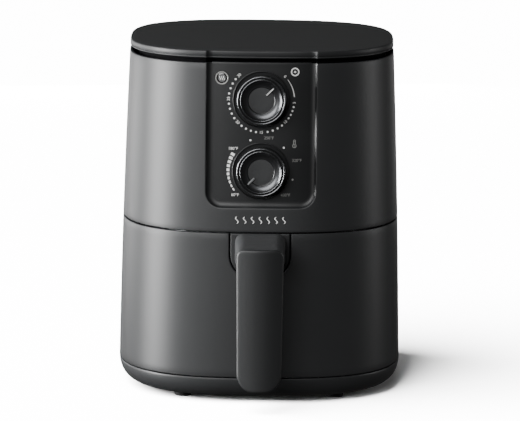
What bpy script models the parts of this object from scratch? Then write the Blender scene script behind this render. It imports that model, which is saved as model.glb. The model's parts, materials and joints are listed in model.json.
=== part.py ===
"""Countertop air fryer with a pull-out drawer, built as an assembly of its real parts.

Lengths are written in millimetres and turned into metres by MM. The front, with the
handle, faces -Y, +X is to the right of someone facing it, +Z is up and Z = 0 is the
underside of the feet. The casing stands on its own centre line, an empty at BODY_Y,
because the handle reaches forward and the origin is the bottom centre of the whole box.
Moving parts hang from empties that lie on their joint axes.
"""

import math

import bmesh
import bpy
from mathutils import Vector

MM = 0.001

# Clearances, and the angle above which an edge is drawn sharp
TOUCH_GAP = 0.35
SEAM_GAP = 1.0
SHARP_ANGLE = math.radians(30)

# Casing: a superellipse in plan that narrows a little towards the top
CASING_POWER = 2.75
DEPTH_RATIO = 1.07
CASING_HALF_WIDTH = 111.0
TAPER = 0.01546
TAPER_GROWTH = 6.01e-5
WALL = 2.6
BASE_SEAM_Z = 20.0
DRAWER_SEAM_Z = 132.5
CASING_TOP_Z = 263.1
COVER_BOTTOM_Z = 267.0
COVER_TOP_Z = 271.7
WING_END_Y = 5.0
REAR_CLEARANCE_Y = 120.5

# Plan stations shared by every lofted ring
FRONT_STATIONS = (-42.0, -38.5, -25.0, -12.5, 0.0, 12.5, 25.0, 38.5, 42.0)
SIDE_STEPS = 7
REAR_STEPS = 9

# Base and feet
BASE_BOTTOM_Z = 3.6
BASE_ROUNDING = 14.0
BASE_ROUNDING_POWER = 2.2
BASE_FLOOR_Z = 6.4
FOOT_X = 59.0
FOOT_Y = 87.0
FOOT_RADIUS = 6.5
FOOT_PEG_RADIUS = 2.5
BASE_SCREW_X = 66.0
BASE_SCREW_Y = 52.0

# Control panel: a shallow recess with two rotary controls, leaning back with the casing
PANEL_HALF_WIDTH = 42.0
PANEL_BOTTOM_Z = 154.5
PANEL_CORNER = 8.0
PANEL_RECESS = 2.5
PANEL_THICKNESS = 3.5
CONTROLS_Z = 207.2
CONTROL_SPACING = 54.9
WELL_RADIUS = 21.9
WELL_DEPTH = 1.2
LENS_X = -30.3
LENS_Z = 250.8
LENS_RADIUS = 4.6
KNOB_RADIUS = 18.5
KNOB_HEIGHT = 10.0
SHAFT_RADIUS = 3.0

# Drawer, pan and tray
PAN_POWER = 3.0
PAN_HALF_WIDTH = 85.0
PAN_HALF_DEPTH = 90.0
PAN_FLARE = 4.0
PAN_BOTTOM_Z = 26.5
PAN_TOP_Z = 116.4
PAN_WALL = 1.2
TRAY_Z = 38.0
TRAY_HALF_WIDTH = 80.0
TRAY_HALF_DEPTH = 85.0
BAY_HALF_WIDTH = 99.0
BAY_HALF_DEPTH = 105.0
BAY_FLOOR_Z = 21.6
BAY_TOP_Z = 133.4
PAN_SCREW_X = 38.0
PAN_SCREW_Z = 100.0
SWITCH_X = 70.0
SWITCH_Y = -88.0
SWITCH_BOTTOM_Z = 137.2
SWITCH_TOP_Z = 148.2

# Rear: the hot air outlet and the cord's gland
GLAND_Z = 44.0
GRILLE_HALF_WIDTH = 35.65
STAND_OFF_X = 33.0

# Handle
HANDLE_HALF_WIDTH = 17.4
HANDLE_FRONT_Y = -160.0
HANDLE_JOIN_Y = -154.6
HANDLE_TOP_Z = 123.8
HANDLE_BOTTOM_Z = 15.6
HANDLE_TIP_CORNER = 13.5
HANDLE_TOP_CORNER = 3.5
HANDLE_FACE_RADIUS = 44.0
MOUNT_HALF_WIDTH = 23.7
MOUNT_BOTTOM_Z = 93.6
MOUNT_CORNER = 18.5
HANDLE_SCREW_X = 10.0
HANDLE_SCREW_Z = 118.0

# Heating chamber and fan unit, on the casing's centre line
CHAMBER_BOTTOM_Z = 121.0
CHAMBER_ROOF_Z = 196.0
ELEMENT_Z = 168.0
ELEMENT_OUTER_RADIUS = 62.0
ELEMENT_INNER_RADIUS = 49.0
ELEMENT_TUBE = 3.25
ELEMENT_LEG_TOP_Z = 208.0
ELEMENT_LEG_ANGLE = math.radians(12)
GUARD_Z = 158.0
SHIELD_Z = 199.2
MOTOR_SHAFT_RADIUS = 2.5

# The whole box runs from the handle's face to the rear stand-offs
BODY_Y = -(HANDLE_FRONT_Y + REAR_CLEARANCE_Y) / 2

# Finishes: sRGB colour, roughness, metallic
FINISHES = {
    "casing_plastic": ("2c2d2e", 0.48, 0.0),
    "cover_plastic": ("28292a", 0.5, 0.0),
    "panel_plastic": ("1e1f20", 0.42, 0.0),
    "knob_plastic": ("242526", 0.38, 0.0),
    "handle_plastic": ("2b2c2d", 0.45, 0.0),
    "inner_plastic": ("1a1a1b", 0.55, 0.0),
    "lens_plastic": ("6a5a52", 0.25, 0.0),
    "foot_rubber": ("151515", 0.8, 0.0),
    "bumper_silicone": ("3a3a3b", 0.7, 0.0),
    "nonstick_steel": ("1f1f20", 0.4, 0.3),
    "aluminised_steel": ("b9bbbd", 0.38, 1.0),
    "sheathed_heater": ("54504c", 0.5, 1.0),
    "turned_steel": ("a8aaac", 0.3, 1.0),
    "laminated_iron": ("5c5e62", 0.45, 1.0),
    "cast_aluminium": ("c4c6c8", 0.4, 1.0),
    "copper_winding": ("b06a3c", 0.4, 1.0),
    "ceramic": ("d8d4c8", 0.5, 0.0),
    "nylon": ("d9d7cf", 0.45, 0.0),
}


def clear_scene():
    """Remove whatever the scene holds, so that the part starts empty."""
    for item in list(bpy.data.objects):
        bpy.data.objects.remove(item, do_unlink=True)


def linear(hex_colour):
    """Turn an sRGB hex colour into a linear RGBA tuple."""
    channels = []
    for start in (0, 2, 4):
        value = int(hex_colour[start : start + 2], 16) / 255
        low = value / 12.92
        high = ((value + 0.055) / 1.055) ** 2.4
        channels.append(low if value <= 0.04045 else high)
    return (*channels, 1.0)


def finish(name):
    """Return the named finish as a Principled material."""
    found = bpy.data.materials.get(name)
    if found:
        return found
    colour, roughness, metallic = FINISHES[name]
    made = bpy.data.materials.new(name)
    made.use_nodes = True
    shader = made.node_tree.nodes["Principled BSDF"]
    shader.inputs["Base Color"].default_value = linear(colour)
    shader.inputs["Roughness"].default_value = roughness
    shader.inputs["Metallic"].default_value = metallic
    made.diffuse_color = linear(colour)
    return made


def empty(name, location, parent=None, lean=0.0):
    """Place an empty that carries a sub-assembly or marks a joint axis."""
    made = bpy.data.objects.new(name, None)
    bpy.context.scene.collection.objects.link(made)
    made.location = Vector(location) * MM
    made.rotation_euler.x = lean
    made.parent = parent
    return made


def place(name, mesh, finish_name, parent):
    """Turn a bmesh in millimetres into a named object under its parent."""
    data = bpy.data.meshes.new(name)
    bmesh.ops.scale(mesh, vec=(MM, MM, MM), verts=mesh.verts)
    bmesh.ops.recalc_face_normals(mesh, faces=mesh.faces)
    mesh.to_mesh(data)
    mesh.free()
    data.shade_smooth()
    data.set_sharp_from_angle(angle=SHARP_ANGLE)
    if finish_name:
        data.materials.append(finish(finish_name))
    made = bpy.data.objects.new(name, data)
    bpy.context.scene.collection.objects.link(made)
    made.parent = parent
    return made


def skin(name, rings, finish_name, parent, closed=False):
    """Loft one closed body through rings of equal length, capped unless closed on itself."""
    mesh = bmesh.new()
    loops = [[mesh.verts.new(point) for point in ring] for ring in rings]
    pairs = list(zip(loops, loops[1:]))
    if closed:
        pairs.append((loops[-1], loops[0]))
    for lower, upper in pairs:
        for i, corner in enumerate(lower):
            j = (i + 1) % len(lower)
            mesh.faces.new((corner, lower[j], upper[j], upper[i]))
    if not closed:
        mesh.faces.new(list(reversed(loops[0])))
        mesh.faces.new(loops[-1])
    return place(name, mesh, finish_name, parent)


def combine(target, other, operation):
    """Add an exact Boolean of a helper shape, which stays out of the render."""
    other.hide_render = True
    other.display_type = "WIRE"
    modifier = target.modifiers.new(f"{operation.lower()} {other.name}", "BOOLEAN")
    modifier.operation = operation
    modifier.solver = "EXACT"
    modifier.object = other


def cut(target, other):
    """Cut a helper shape out of the target."""
    combine(target, other, "DIFFERENCE")


def fuse(target, other):
    """Join a helper shape to the target as one body."""
    combine(target, other, "UNION")


def keep(target, other):
    """Keep only what the target shares with a helper shape."""
    combine(target, other, "INTERSECT")


def ring_about(centre, direction, radius, sides):
    """Return a circle of points about a centre, square to a direction."""
    turn = Vector((0, 0, 1)).rotation_difference(Vector(direction).normalized())
    points = []
    for i in range(sides):
        angle = math.tau * i / sides
        spoke = Vector((radius * math.cos(angle), radius * math.sin(angle), 0))
        points.append(Vector(centre) + turn @ spoke)
    return points


def turned(name, start, direction, profile, finish_name, parent, sides=20, closed=False):
    """Turn a profile of (radius, distance) pairs about the line from start along direction."""
    way = Vector(direction).normalized()
    first = Vector(start)
    rings = [ring_about(first + way * along, way, radius, sides) for radius, along in profile]
    return skin(name, rings, finish_name, parent, closed)


def rod(name, start, end, radius, finish_name=None, parent=None, sides=12):
    """Return a plain round bar between two points."""
    way = Vector(end) - Vector(start)
    profile = [(radius, 0), (radius, way.length)]
    return turned(name, start, way, profile, finish_name, parent, sides)


def box(name, low, high, finish_name=None, parent=None):
    """Return a rectangular block between two corners."""
    rings = []
    for z in (low[2], high[2]):
        front = [(low[0], low[1], z), (high[0], low[1], z)]
        rear = [(high[0], high[1], z), (low[0], high[1], z)]
        rings.append(front + rear)
    return skin(name, rings, finish_name, parent)


def rounded_outline(left, bottom, right, top, corners, steps=4):
    """Return a rectangle's outline with rounded corners, from the lower left, anticlockwise."""
    centres = (
        (left + corners[0], bottom + corners[0], 180),
        (right - corners[1], bottom + corners[1], 270),
        (right - corners[2], top - corners[2], 0),
        (left + corners[3], top - corners[3], 90),
    )
    points = []
    for (x, z, first), radius in zip(centres, corners):
        for i in range(steps + 1):
            angle = math.radians(first + 90 * i / steps)
            points.append((x + radius * math.cos(angle), z + radius * math.sin(angle)))
    return points


def upright_ring(outline, y):
    """Stand an (x, z) outline up at one depth."""
    return [(x, y, z) for x, z in outline]


def prism(name, outline, front, back, finish_name=None, parent=None):
    """Extrude an (x, z) outline along Y."""
    rings = [upright_ring(outline, y) for y in (front, back)]
    return skin(name, rings, finish_name, parent)


def half_width(z):
    """Return the casing's outer half width at a height."""
    rise = z - BASE_SEAM_Z
    return CASING_HALF_WIDTH - TAPER * rise - TAPER_GROWTH * rise * rise


def front_y(z, inset=0.0):
    """Return where the casing's front surface lies on the centre line, moved in by an inset."""
    return -(half_width(z) * DEPTH_RATIO - inset)


def depth_at(x, width, depth, power):
    """Return the superellipse's half depth at a distance from its centre line."""
    return depth * (1 - (abs(x) / width) ** power) ** (1 / power)


def plan_ring(z, width, depth, power, recess=0.0):
    """Return a superellipse ring, with its front pushed in between the panel's edges."""
    points = []
    for x in FRONT_STATIONS:
        pushed = recess if abs(x) < PANEL_HALF_WIDTH else 0.0
        points.append((x, pushed - depth_at(x, width, depth, power), z))
    edge = FRONT_STATIONS[-1]
    first = math.atan2(-depth_at(edge, width, depth, power), edge)
    angles = [first * (1 - i / SIDE_STEPS) for i in range(1, SIDE_STEPS + 1)]
    angles += [math.pi / 2 * i / REAR_STEPS for i in range(1, REAR_STEPS + 1)]
    right = []
    for angle in angles:
        across = abs(math.cos(angle) / width) ** power
        along = abs(math.sin(angle) / depth) ** power
        radius = (across + along) ** (-1 / power)
        right.append((radius * math.cos(angle), radius * math.sin(angle), z))
    left = [(-x, y, z) for x, y, z in reversed(right[:-1])]
    return points + right + left


def casing_ring(z, inset=0.0, recess=0.0, lift=0.0):
    """Return the casing's outline at a height, moved in by an inset; lift only moves it up."""
    width = half_width(z) - inset
    depth = half_width(z) * DEPTH_RATIO - inset
    return plan_ring(z + lift, width, depth, CASING_POWER, recess)


def casing_patch(name, left, right, levels, outer, inner, finish_name, parent, stations=8):
    """Make a plate that follows the casing's surface between two insets on the front or rear."""
    rings = []
    for z in levels:
        rows = []
        for inset in (outer, inner):
            width = half_width(z) - inset
            depth = half_width(z) * DEPTH_RATIO - inset
            row = []
            for i in range(stations + 1):
                x = left + (right - left) * i / stations
                row.append((x, -depth_at(x, width, depth, CASING_POWER), z))
            rows.append(row)
        rings.append(rows[0] + list(reversed(rows[1])))
    return skin(name, rings, finish_name, parent)


def screw(name, start, direction, length, parent):
    """Make a pan-head screw whose head starts at a point and whose shank runs along direction."""
    profile = [(3.3, 0), (3.3, 1.8), (1.6, 1.8), (1.6, length)]
    return turned(name, start, direction, profile, "turned_steel", parent, sides=10)


def build_cover(body):
    """Build the flat top cover and the collar that carries it over the dark gap."""
    rings = [
        casing_ring(COVER_BOTTOM_Z, 0.4, PANEL_RECESS),
        casing_ring(COVER_BOTTOM_Z + 0.5, 0.0, PANEL_RECESS),
        casing_ring(COVER_TOP_Z - 0.8, 0.0, PANEL_RECESS),
        casing_ring(COVER_TOP_Z, 0.7, PANEL_RECESS),
    ]
    rings.reverse()
    rings.append(casing_ring(COVER_BOTTOM_Z, 3.0, PANEL_RECESS))
    rings.append(casing_ring(COVER_BOTTOM_Z + 2.2, 3.0, PANEL_RECESS))
    skin("top_cover", rings, "cover_plastic", body)

    recess = PANEL_RECESS + 0.9
    foot_z = CASING_TOP_Z - 8.0
    ledge_z = CASING_TOP_Z + 1.5
    inner, wall, lip = 9.2, 6.8, 1.8
    rings = [
        casing_ring(foot_z, inner, recess),
        casing_ring(foot_z, wall, recess),
        casing_ring(ledge_z, wall, recess),
        casing_ring(ledge_z, lip, recess),
        casing_ring(ledge_z + 0.8, lip, recess),
        casing_ring(ledge_z + 0.8, wall, recess),
        casing_ring(COVER_BOTTOM_Z + 1.6, wall, recess),
        casing_ring(COVER_BOTTOM_Z + 1.6, inner, recess),
    ]
    skin("top_collar", rings, "inner_plastic", body, closed=True)


def build_housing(body):
    """Build the casing: a full ring above the drawer seam, and the rear half down to the base."""
    bottom = BASE_SEAM_Z + 0.2
    seam = DRAWER_SEAM_Z + SEAM_GAP / 2
    levels = (bottom, 76.0, seam, 198.0, CASING_TOP_Z - 0.8)
    outer = [casing_ring(z) for z in levels]
    outer.append(casing_ring(CASING_TOP_Z, 0.8))
    inner = [casing_ring(z, WALL) for z in reversed(levels[:-1])]
    rings = outer + [casing_ring(CASING_TOP_Z, WALL)] + inner
    housing = skin("outer_housing", rings, "casing_plastic", body, closed=True)
    mouth_end = WING_END_Y + SEAM_GAP
    cut(housing, box("drawer_mouth", (-130, -130, 0), (130, mouth_end, seam), parent=body))
    corners = (PANEL_CORNER, PANEL_CORNER, 1.0, 1.0)
    window = rounded_outline(-PANEL_HALF_WIDTH, PANEL_BOTTOM_Z, PANEL_HALF_WIDTH, 290.0, corners)
    cut(housing, prism("panel_window", window, -130, -80, parent=body))
    cut(housing, box("outlet_window", (-36.0, 90, 205.0), (36.0, 130, 245.0), parent=body))
    cut(housing, rod("gland_hole", (0, 100, GLAND_Z), (0, 130, GLAND_Z), 8.0, parent=body))


def build_base(body):
    """Build the rounded base pan, its feet and the screws that hold the drawer bay down."""
    top = BASE_SEAM_Z - 0.4
    rings = []
    for share in (1.0, 0.96, 0.84, 0.6, 0.3, 0.0):
        inset = BASE_ROUNDING * (1 - (1 - share**BASE_ROUNDING_POWER) ** (1 / BASE_ROUNDING_POWER))
        z = top - (top - BASE_BOTTOM_Z) * share
        rings.append(casing_ring(BASE_SEAM_Z, inset, lift=z - BASE_SEAM_Z))
    for inset, z in ((WALL, top), (4.4, 12.0), (8.0, 8.0), (BASE_ROUNDING, BASE_FLOOR_Z)):
        rings.append(casing_ring(BASE_SEAM_Z, inset, lift=z - BASE_SEAM_Z))
    base = skin("base_pan", rings, "casing_plastic", body)

    places = {
        "front_left": (-1, -1),
        "front_right": (1, -1),
        "rear_left": (-1, 1),
        "rear_right": (1, 1),
    }
    foot_top = BASE_BOTTOM_Z - TOUCH_GAP
    for side, (x_side, y_side) in places.items():
        x, y = FOOT_X * x_side, FOOT_Y * y_side
        peg_hole = FOOT_PEG_RADIUS + 0.4
        cut(base, rod(f"peg_hole_{side}", (x, y, 0), (x, y, 12), peg_hole, parent=body, sides=8))
        profile = [(FOOT_RADIUS - 0.8, 0), (FOOT_RADIUS, 0.8), (FOOT_RADIUS, foot_top)]
        profile += [(FOOT_PEG_RADIUS, foot_top), (FOOT_PEG_RADIUS, 9.0)]
        turned(f"foot_{side}", (x, y, 0), (0, 0, 1), profile, "foot_rubber", body, sides=12)
        x, y = BASE_SCREW_X * x_side, BASE_SCREW_Y * y_side
        cut(base, rod(f"screw_hole_{side}", (x, y, 0), (x, y, 12), 2.0, parent=body, sides=8))
        screw(f"base_screw_{side}", (x, y, 1.4), (0, 0, 1), 16.6, body)


def build_bay(body):
    """Build the fixed bay that the pan slides in, and the ceiling above it."""
    def bay_ring(z, inset):
        return plan_ring(z, BAY_HALF_WIDTH - inset, BAY_HALF_DEPTH - inset, PAN_POWER)

    rings = [
        bay_ring(BAY_FLOOR_Z, 3.0),
        bay_ring(BAY_FLOOR_Z + 2.4, 0.0),
        bay_ring(BAY_TOP_Z, 0.0),
        bay_ring(BAY_TOP_Z, 1.5),
        bay_ring(BAY_FLOOR_Z + 2.9, 1.5),
        bay_ring(BAY_FLOOR_Z + 1.5, 4.0),
    ]
    bay = skin("drawer_bay", rings, "inner_plastic", body)
    cut(bay, box("bay_mouth", (-130, -130, BAY_FLOOR_Z + 3.5), (130, -50, 150), parent=body))
    for side in (-1, 1):
        low = (50 * side - 2.5, -82, BAY_FLOOR_Z + 1.0)
        high = (50 * side + 2.5, 80, PAN_BOTTOM_Z - TOUCH_GAP)
        fuse(bay, box(f"slide_rail_{side}", low, high, parent=body))
        for end in (-1, 1):
            x, y = BASE_SCREW_X * side, BASE_SCREW_Y * end
            foot, head = (x, y, BASE_FLOOR_Z + 0.6), (x, y, BAY_FLOOR_Z + 1)
            fuse(bay, rod(f"boss_{side}_{end}", foot, head, 4.0, parent=body))
            cut(bay, rod(f"bore_{side}_{end}", (x, y, 0), (x, y, 20), 1.95, parent=body, sides=8))

    low_z = BAY_TOP_Z + 0.6
    rings = [
        casing_ring(low_z, WALL + 0.6),
        casing_ring(low_z + 2.0, WALL + 0.6),
        plan_ring(low_z + 2.0, 92.6, 97.6, PAN_POWER),
        plan_ring(low_z, 92.6, 97.6, PAN_POWER),
    ]
    ceiling = skin("bay_ceiling", rings, "inner_plastic", body, closed=True)
    low, high = (SWITCH_X, SWITCH_Y, 130), (SWITCH_X, SWITCH_Y, 140)
    cut(ceiling, rod("plunger_hole", low, high, 2.2, parent=body, sides=8))
    build_drawer_switch(body)


def build_drawer_switch(body):
    """Build the safety switch over the bay, with the plunger that the drawer's tab works."""
    low = (SWITCH_X - 6, SWITCH_Y - 4, SWITCH_BOTTOM_Z)
    high = (SWITCH_X + 6, SWITCH_Y + 4, SWITCH_TOP_Z)
    block = box("switch_body", low, high, "nylon", body)
    low = (SWITCH_X, SWITCH_Y, SWITCH_BOTTOM_Z - 1)
    high = (SWITCH_X, SWITCH_Y, SWITCH_TOP_Z - 2.6)
    cut(block, rod("plunger_bore", low, high, 2.0, parent=body, sides=8))
    tip = empty("plunger_axis", (SWITCH_X, SWITCH_Y, SWITCH_BOTTOM_Z - 5), body)
    rod("switch_plunger", (0, 0, 0), (0, 0, 10.4), 1.6, "nylon", tip, sides=10)


def build_rear(body):
    """Build the hot air outlet, its duct, the cord's gland and the terminal block."""
    levels = (205.35, 218.0, 231.0, 244.65)
    edge = GRILLE_HALF_WIDTH
    grille = casing_patch("rear_grille", -edge, edge, levels, 0.4, 3.0, "inner_plastic", body)
    grille.rotation_euler.z = math.pi
    for row in range(6):
        z = 210.5 + 5.8 * row
        cut(grille, box(f"louvre_{row}", (-30, -130, z - 1.6), (30, -90, z + 1.6), parent=grille))
    for side in (-1, 1):
        low = (STAND_OFF_X * side - 1.2, -REAR_CLEARANCE_Y, 208.0)
        high = (STAND_OFF_X * side + 1.2, -109.0, 242.0)
        fuse(grille, box(f"stand_off_{side}", low, high, parent=grille))

    mouth = rounded_outline(-33, 207, 33, 243, (3, 3, 3, 3), steps=2)
    lining = rounded_outline(-31.8, 208.2, 31.8, 241.8, (2, 2, 2, 2), steps=2)
    front, back = 78.0, 106.8
    rings = [upright_ring(mouth, front), upright_ring(mouth, back)]
    rings += [upright_ring(lining, back), upright_ring(lining, front)]
    skin("exhaust_duct", rings, "aluminised_steel", body, closed=True)

    profile = [(4.1, 5.0), (7.6, 5.0), (7.6, 1.5), (10.0, 1.5), (9.4, 0.0), (4.1, 0.0)]
    start = (0, REAR_CLEARANCE_Y, GLAND_Z)
    turned("cord_gland", start, (0, -1, 0), profile, "inner_plastic", body, closed=True)
    box("terminal_block", (14, 105.9, 58), (34, 112.4, 70), "nylon", body)


def build_controls(body):
    """Build the recessed panel, both rotary controls, the indicator and what is behind them."""
    inner = PANEL_RECESS + PANEL_THICKNESS
    edge = PANEL_HALF_WIDTH - TOUCH_GAP
    levels = [PANEL_BOTTOM_Z + TOUCH_GAP, 181.0, 208.0, 236.0, CASING_TOP_Z]
    panel = casing_patch(
        "control_panel", -edge, edge, levels, PANEL_RECESS, inner, "panel_plastic", body
    )
    corners = (PANEL_CORNER, PANEL_CORNER, 1.0, 1.0)
    outline = rounded_outline(-edge, levels[0], edge, 280.0, corners)
    keep(panel, prism("panel_outline", outline, -130, -80, parent=body))

    rise = front_y(CONTROLS_Z + 1.0) - front_y(CONTROLS_Z - 1.0)
    lean = math.atan2(rise, 2.0)
    frame = empty("controls", (0, front_y(CONTROLS_Z, PANEL_RECESS), CONTROLS_Z), body, -lean)
    for name, z in (("timer", CONTROL_SPACING / 2), ("temperature", -CONTROL_SPACING / 2)):
        well = rod(f"{name}_well", (0, -6, z), (0, WELL_DEPTH, z), WELL_RADIUS, parent=frame, sides=32)
        hole = rod(f"{name}_hole", (0, -2, z), (0, 12, z), SHAFT_RADIUS + 0.6, parent=frame)
        cut(panel, well)
        cut(panel, hole)
        build_knob(name, empty(f"{name}_axis", (0, 0, z), frame))
    left, right = LENS_X - 6, LENS_X + 6
    levels = (LENS_Z - 6, LENS_Z + 6)
    outer = PANEL_RECESS + 0.1
    lens = casing_patch("indicator_lens", left, right, levels, outer, inner, "lens_plastic", body)
    low, high = (LENS_X, -130, LENS_Z), (LENS_X, -90, LENS_Z)
    keep(lens, rod("lens_edge", low, high, LENS_RADIUS, parent=body))
    cut(panel, rod("lens_hole", low, high, LENS_RADIUS + TOUCH_GAP, parent=body))
    low, high = (LENS_X, -102.9, LENS_Z), (LENS_X, -88, LENS_Z)
    rod("pilot_lamp", low, high, 3.0, "lens_plastic", body, sides=10)
    build_control_gear(frame)


def build_knob(name, axis):
    """Build a dished knob and its shaft about their joint axis, with +Y running into the panel."""
    face = -KNOB_HEIGHT
    foot = WELL_DEPTH - TOUCH_GAP
    socket = SHAFT_RADIUS + TOUCH_GAP
    profile = [
        (10.5, face + 3.2),
        (15.6, face + 0.6),
        (16.3, face),
        (16.8, face + 0.9),
        (17.4, face + 0.4),
        (KNOB_RADIUS, face + 1.6),
        (KNOB_RADIUS + 0.4, foot),
        (16.4, foot),
        (16.4, face + 5.0),
        (6.2, face + 5.0),
        (6.2, foot - 2.0),
        (socket, foot - 2.0),
        (socket, face + 4.6),
    ]
    turned(f"{name}_knob", (0, 0, 0), (0, 1, 0), profile, "knob_plastic", axis, sides=28)
    rod(f"{name}_shaft", (0, face + 5.0, 0), (0, 11.6, 0), SHAFT_RADIUS, "turned_steel", axis, sides=10)


def build_control_gear(frame):
    """Build the bracket behind the panel with the timer, its bell and the thermostat."""
    timer_z = CONTROL_SPACING / 2
    bracket = box("control_bracket", (-29, 6.6, -44), (29, 7.8, 46), "aluminised_steel", frame)
    for name, z in (("timer", timer_z), ("temperature", -timer_z)):
        clearance = SHAFT_RADIUS + 0.8
        cut(bracket, rod(f"{name}_clearance", (0, 4, z), (0, 10, z), clearance, parent=frame))
    cut(bracket, box("lamp_notch", (-35, 4, 38), (-25, 10, 52), parent=frame))
    rod("timer_body", (0, 12.2, timer_z), (0, 36, timer_z), 22.0, "nylon", frame, sides=20)
    bell = [(18.0, 6.0), (17.4, 3.0), (12.0, 0.6), (5.0, 0.0)]
    hollow = [(4.0, 1.2), (11.4, 1.8), (16.4, 3.9), (16.8, 6.0)]
    profile = bell + hollow
    turned("timer_bell", (0, 44.0, timer_z), (0, -1, 0), profile, "turned_steel", frame, closed=True)
    low, high = (-15, 12.2, -timer_z - 15), (15, 29, -timer_z + 15)
    box("thermostat_body", low, high, "nylon", frame)


def build_drawer(drawer):
    """Build the drawer's curved front and the coated pan behind it."""
    bottom = BASE_SEAM_Z + 0.4
    top = DRAWER_SEAM_Z - SEAM_GAP / 2
    levels = (bottom, 58.0, 96.0, top)
    rings = [casing_ring(z) for z in levels]
    rings += [casing_ring(z, WALL) for z in reversed(levels)]
    front = skin("drawer_front", rings, "casing_plastic", drawer, closed=True)
    cut(front, box("wing_end", (-130, WING_END_Y, 0), (130, 130, 150), parent=drawer))
    window = mount_outline(MOUNT_HALF_WIDTH, MOUNT_BOTTOM_Z, top + 10)
    cut(front, prism("mount_window", window, -130, -100, parent=drawer))
    for side in (-1, 1):
        x = PAN_SCREW_X * side
        middle = WALL / 2
        half, depth = half_width(PAN_SCREW_Z) - middle, -front_y(PAN_SCREW_Z, middle)
        wall_y = -depth_at(x, half, depth, CASING_POWER)
        low, high = (x, wall_y, PAN_SCREW_Z), (x, -98.6, PAN_SCREW_Z)
        fuse(front, rod(f"pan_boss_{side}", low, high, 4.5, parent=drawer))
        low, high = (x, wall_y + 5, PAN_SCREW_Z), (x, -95, PAN_SCREW_Z)
        cut(front, rod(f"pan_bore_{side}", low, high, 1.95, parent=drawer))
    low = (SWITCH_X - 4, SWITCH_Y - 8.4, 126.5)
    high = (SWITCH_X + 6, SWITCH_Y + 4, 131.6)
    fuse(front, box("switch_tab", low, high, parent=drawer))

    def pan_ring(z, inset):
        flare = PAN_FLARE * (z - PAN_BOTTOM_Z) / (PAN_TOP_Z - PAN_BOTTOM_Z)
        width = PAN_HALF_WIDTH + flare - inset
        depth = PAN_HALF_DEPTH + flare - inset
        return plan_ring(z, width, depth, PAN_POWER)

    outer = [(PAN_BOTTOM_Z, 9.0), (27.5, 3.0), (31.5, 0.6), (36.0, 0.0)]
    rim = [(PAN_TOP_Z - 1.4, 0.0), (PAN_TOP_Z - 1.4, -2.5), (PAN_TOP_Z, -2.5)]
    inner = [(PAN_TOP_Z, PAN_WALL), (36.0, PAN_WALL), (32.0, 1.9), (28.9, 4.2), (27.9, 9.5)]
    rings = [pan_ring(z, inset) for z, inset in outer + rim + inner]
    pan = skin("drawer_pan", rings, "nonstick_steel", drawer)
    for name, x in (("pan_screw_left", -PAN_SCREW_X), ("pan_screw_right", PAN_SCREW_X)):
        low, high = (x, -98, PAN_SCREW_Z), (x, -86, PAN_SCREW_Z)
        cut(pan, rod(f"{name}_hole", low, high, 2.0, parent=drawer, sides=8))
        screw(name, (x, -86.4, PAN_SCREW_Z), (0, -1, 0), 19.4, drawer)


def mount_outline(width, bottom, top):
    """Return the outline of the handle's tongue-shaped seat: square at the top, round below."""
    return rounded_outline(-width, bottom, width, top, (MOUNT_CORNER, MOUNT_CORNER, 0.5, 0.5), steps=6)


def build_handle(drawer):
    """Build the handle: a seat in the drawer front, an arm with a grip, and a curved face plate."""
    top = DRAWER_SEAM_Z - SEAM_GAP / 2
    gap = 0.5
    width = MOUNT_HALF_WIDTH - gap
    levels = (MOUNT_BOTTOM_Z + gap, 113.0, top)
    inner = WALL + 0.4
    seat = casing_patch("handle_mount", -width, width, levels, 0.0, inner, "handle_plastic", drawer)
    outline = mount_outline(width, MOUNT_BOTTOM_Z + gap, top + 10)
    keep(seat, prism("seat_outline", outline, -130, -100, parent=drawer))
    levels = (MOUNT_BOTTOM_Z - 3.5, 113.0, top - 2.0)
    outer, inner = WALL + TOUCH_GAP, WALL + 2.4
    fuse(seat, casing_patch("seat_flange", -27, 27, levels, outer, inner, None, drawer))

    arm = []
    for y, half, low, high in (
        (-117.15, 19.3, 104.5, 131.3),
        (-128.0, 18.8, 105.5, 130.4),
        (-140.0, 18.1, 103.5, 128.2),
        (-149.0, 17.6, 97.0, 125.4),
        (HANDLE_JOIN_Y, HANDLE_HALF_WIDTH, 88.0, HANDLE_TOP_Z),
    ):
        outline = rounded_outline(-half, low, half, high, (4.5, 4.5, 4.5, 4.5), steps=3)
        arm.append(upright_ring(outline, y))
    shell = skin("handle_shell", arm, "handle_plastic", drawer)
    grip = []
    for y, inset in ((HANDLE_JOIN_Y, 0.0), (-150.5, 0.5), (-147.8, 2.2), (-146.6, 5.5)):
        grip.append(upright_ring(handle_outline(inset), y))
    fuse(shell, skin("grip", grip, None, drawer))

    front, back = HANDLE_FRONT_Y - 1, HANDLE_JOIN_Y - TOUCH_GAP
    plate = prism("handle_cover", handle_outline(0.0), front, back, "handle_plastic", drawer)
    centre_y = HANDLE_FRONT_Y + HANDLE_FACE_RADIUS
    low, high = (0, centre_y, 0), (0, centre_y, 140)
    keep(plate, rod("face_curve", low, high, HANDLE_FACE_RADIUS, parent=drawer, sides=96))

    z = HANDLE_SCREW_Z
    for name, x in (("handle_screw_left", -HANDLE_SCREW_X), ("handle_screw_right", HANDLE_SCREW_X)):
        low, high = (x, -122, z), (x, -105, z)
        cut(seat, rod(f"{name}_hole", low, high, 2.0, parent=drawer, sides=8))
        low, high = (x, HANDLE_JOIN_Y + 18, z), (x, -110, z)
        cut(shell, rod(f"{name}_bore", low, high, 2.0, parent=drawer, sides=8))
        screw(name, (x, -108.9, z), (0, -1, 0), 24.0, drawer)


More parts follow.
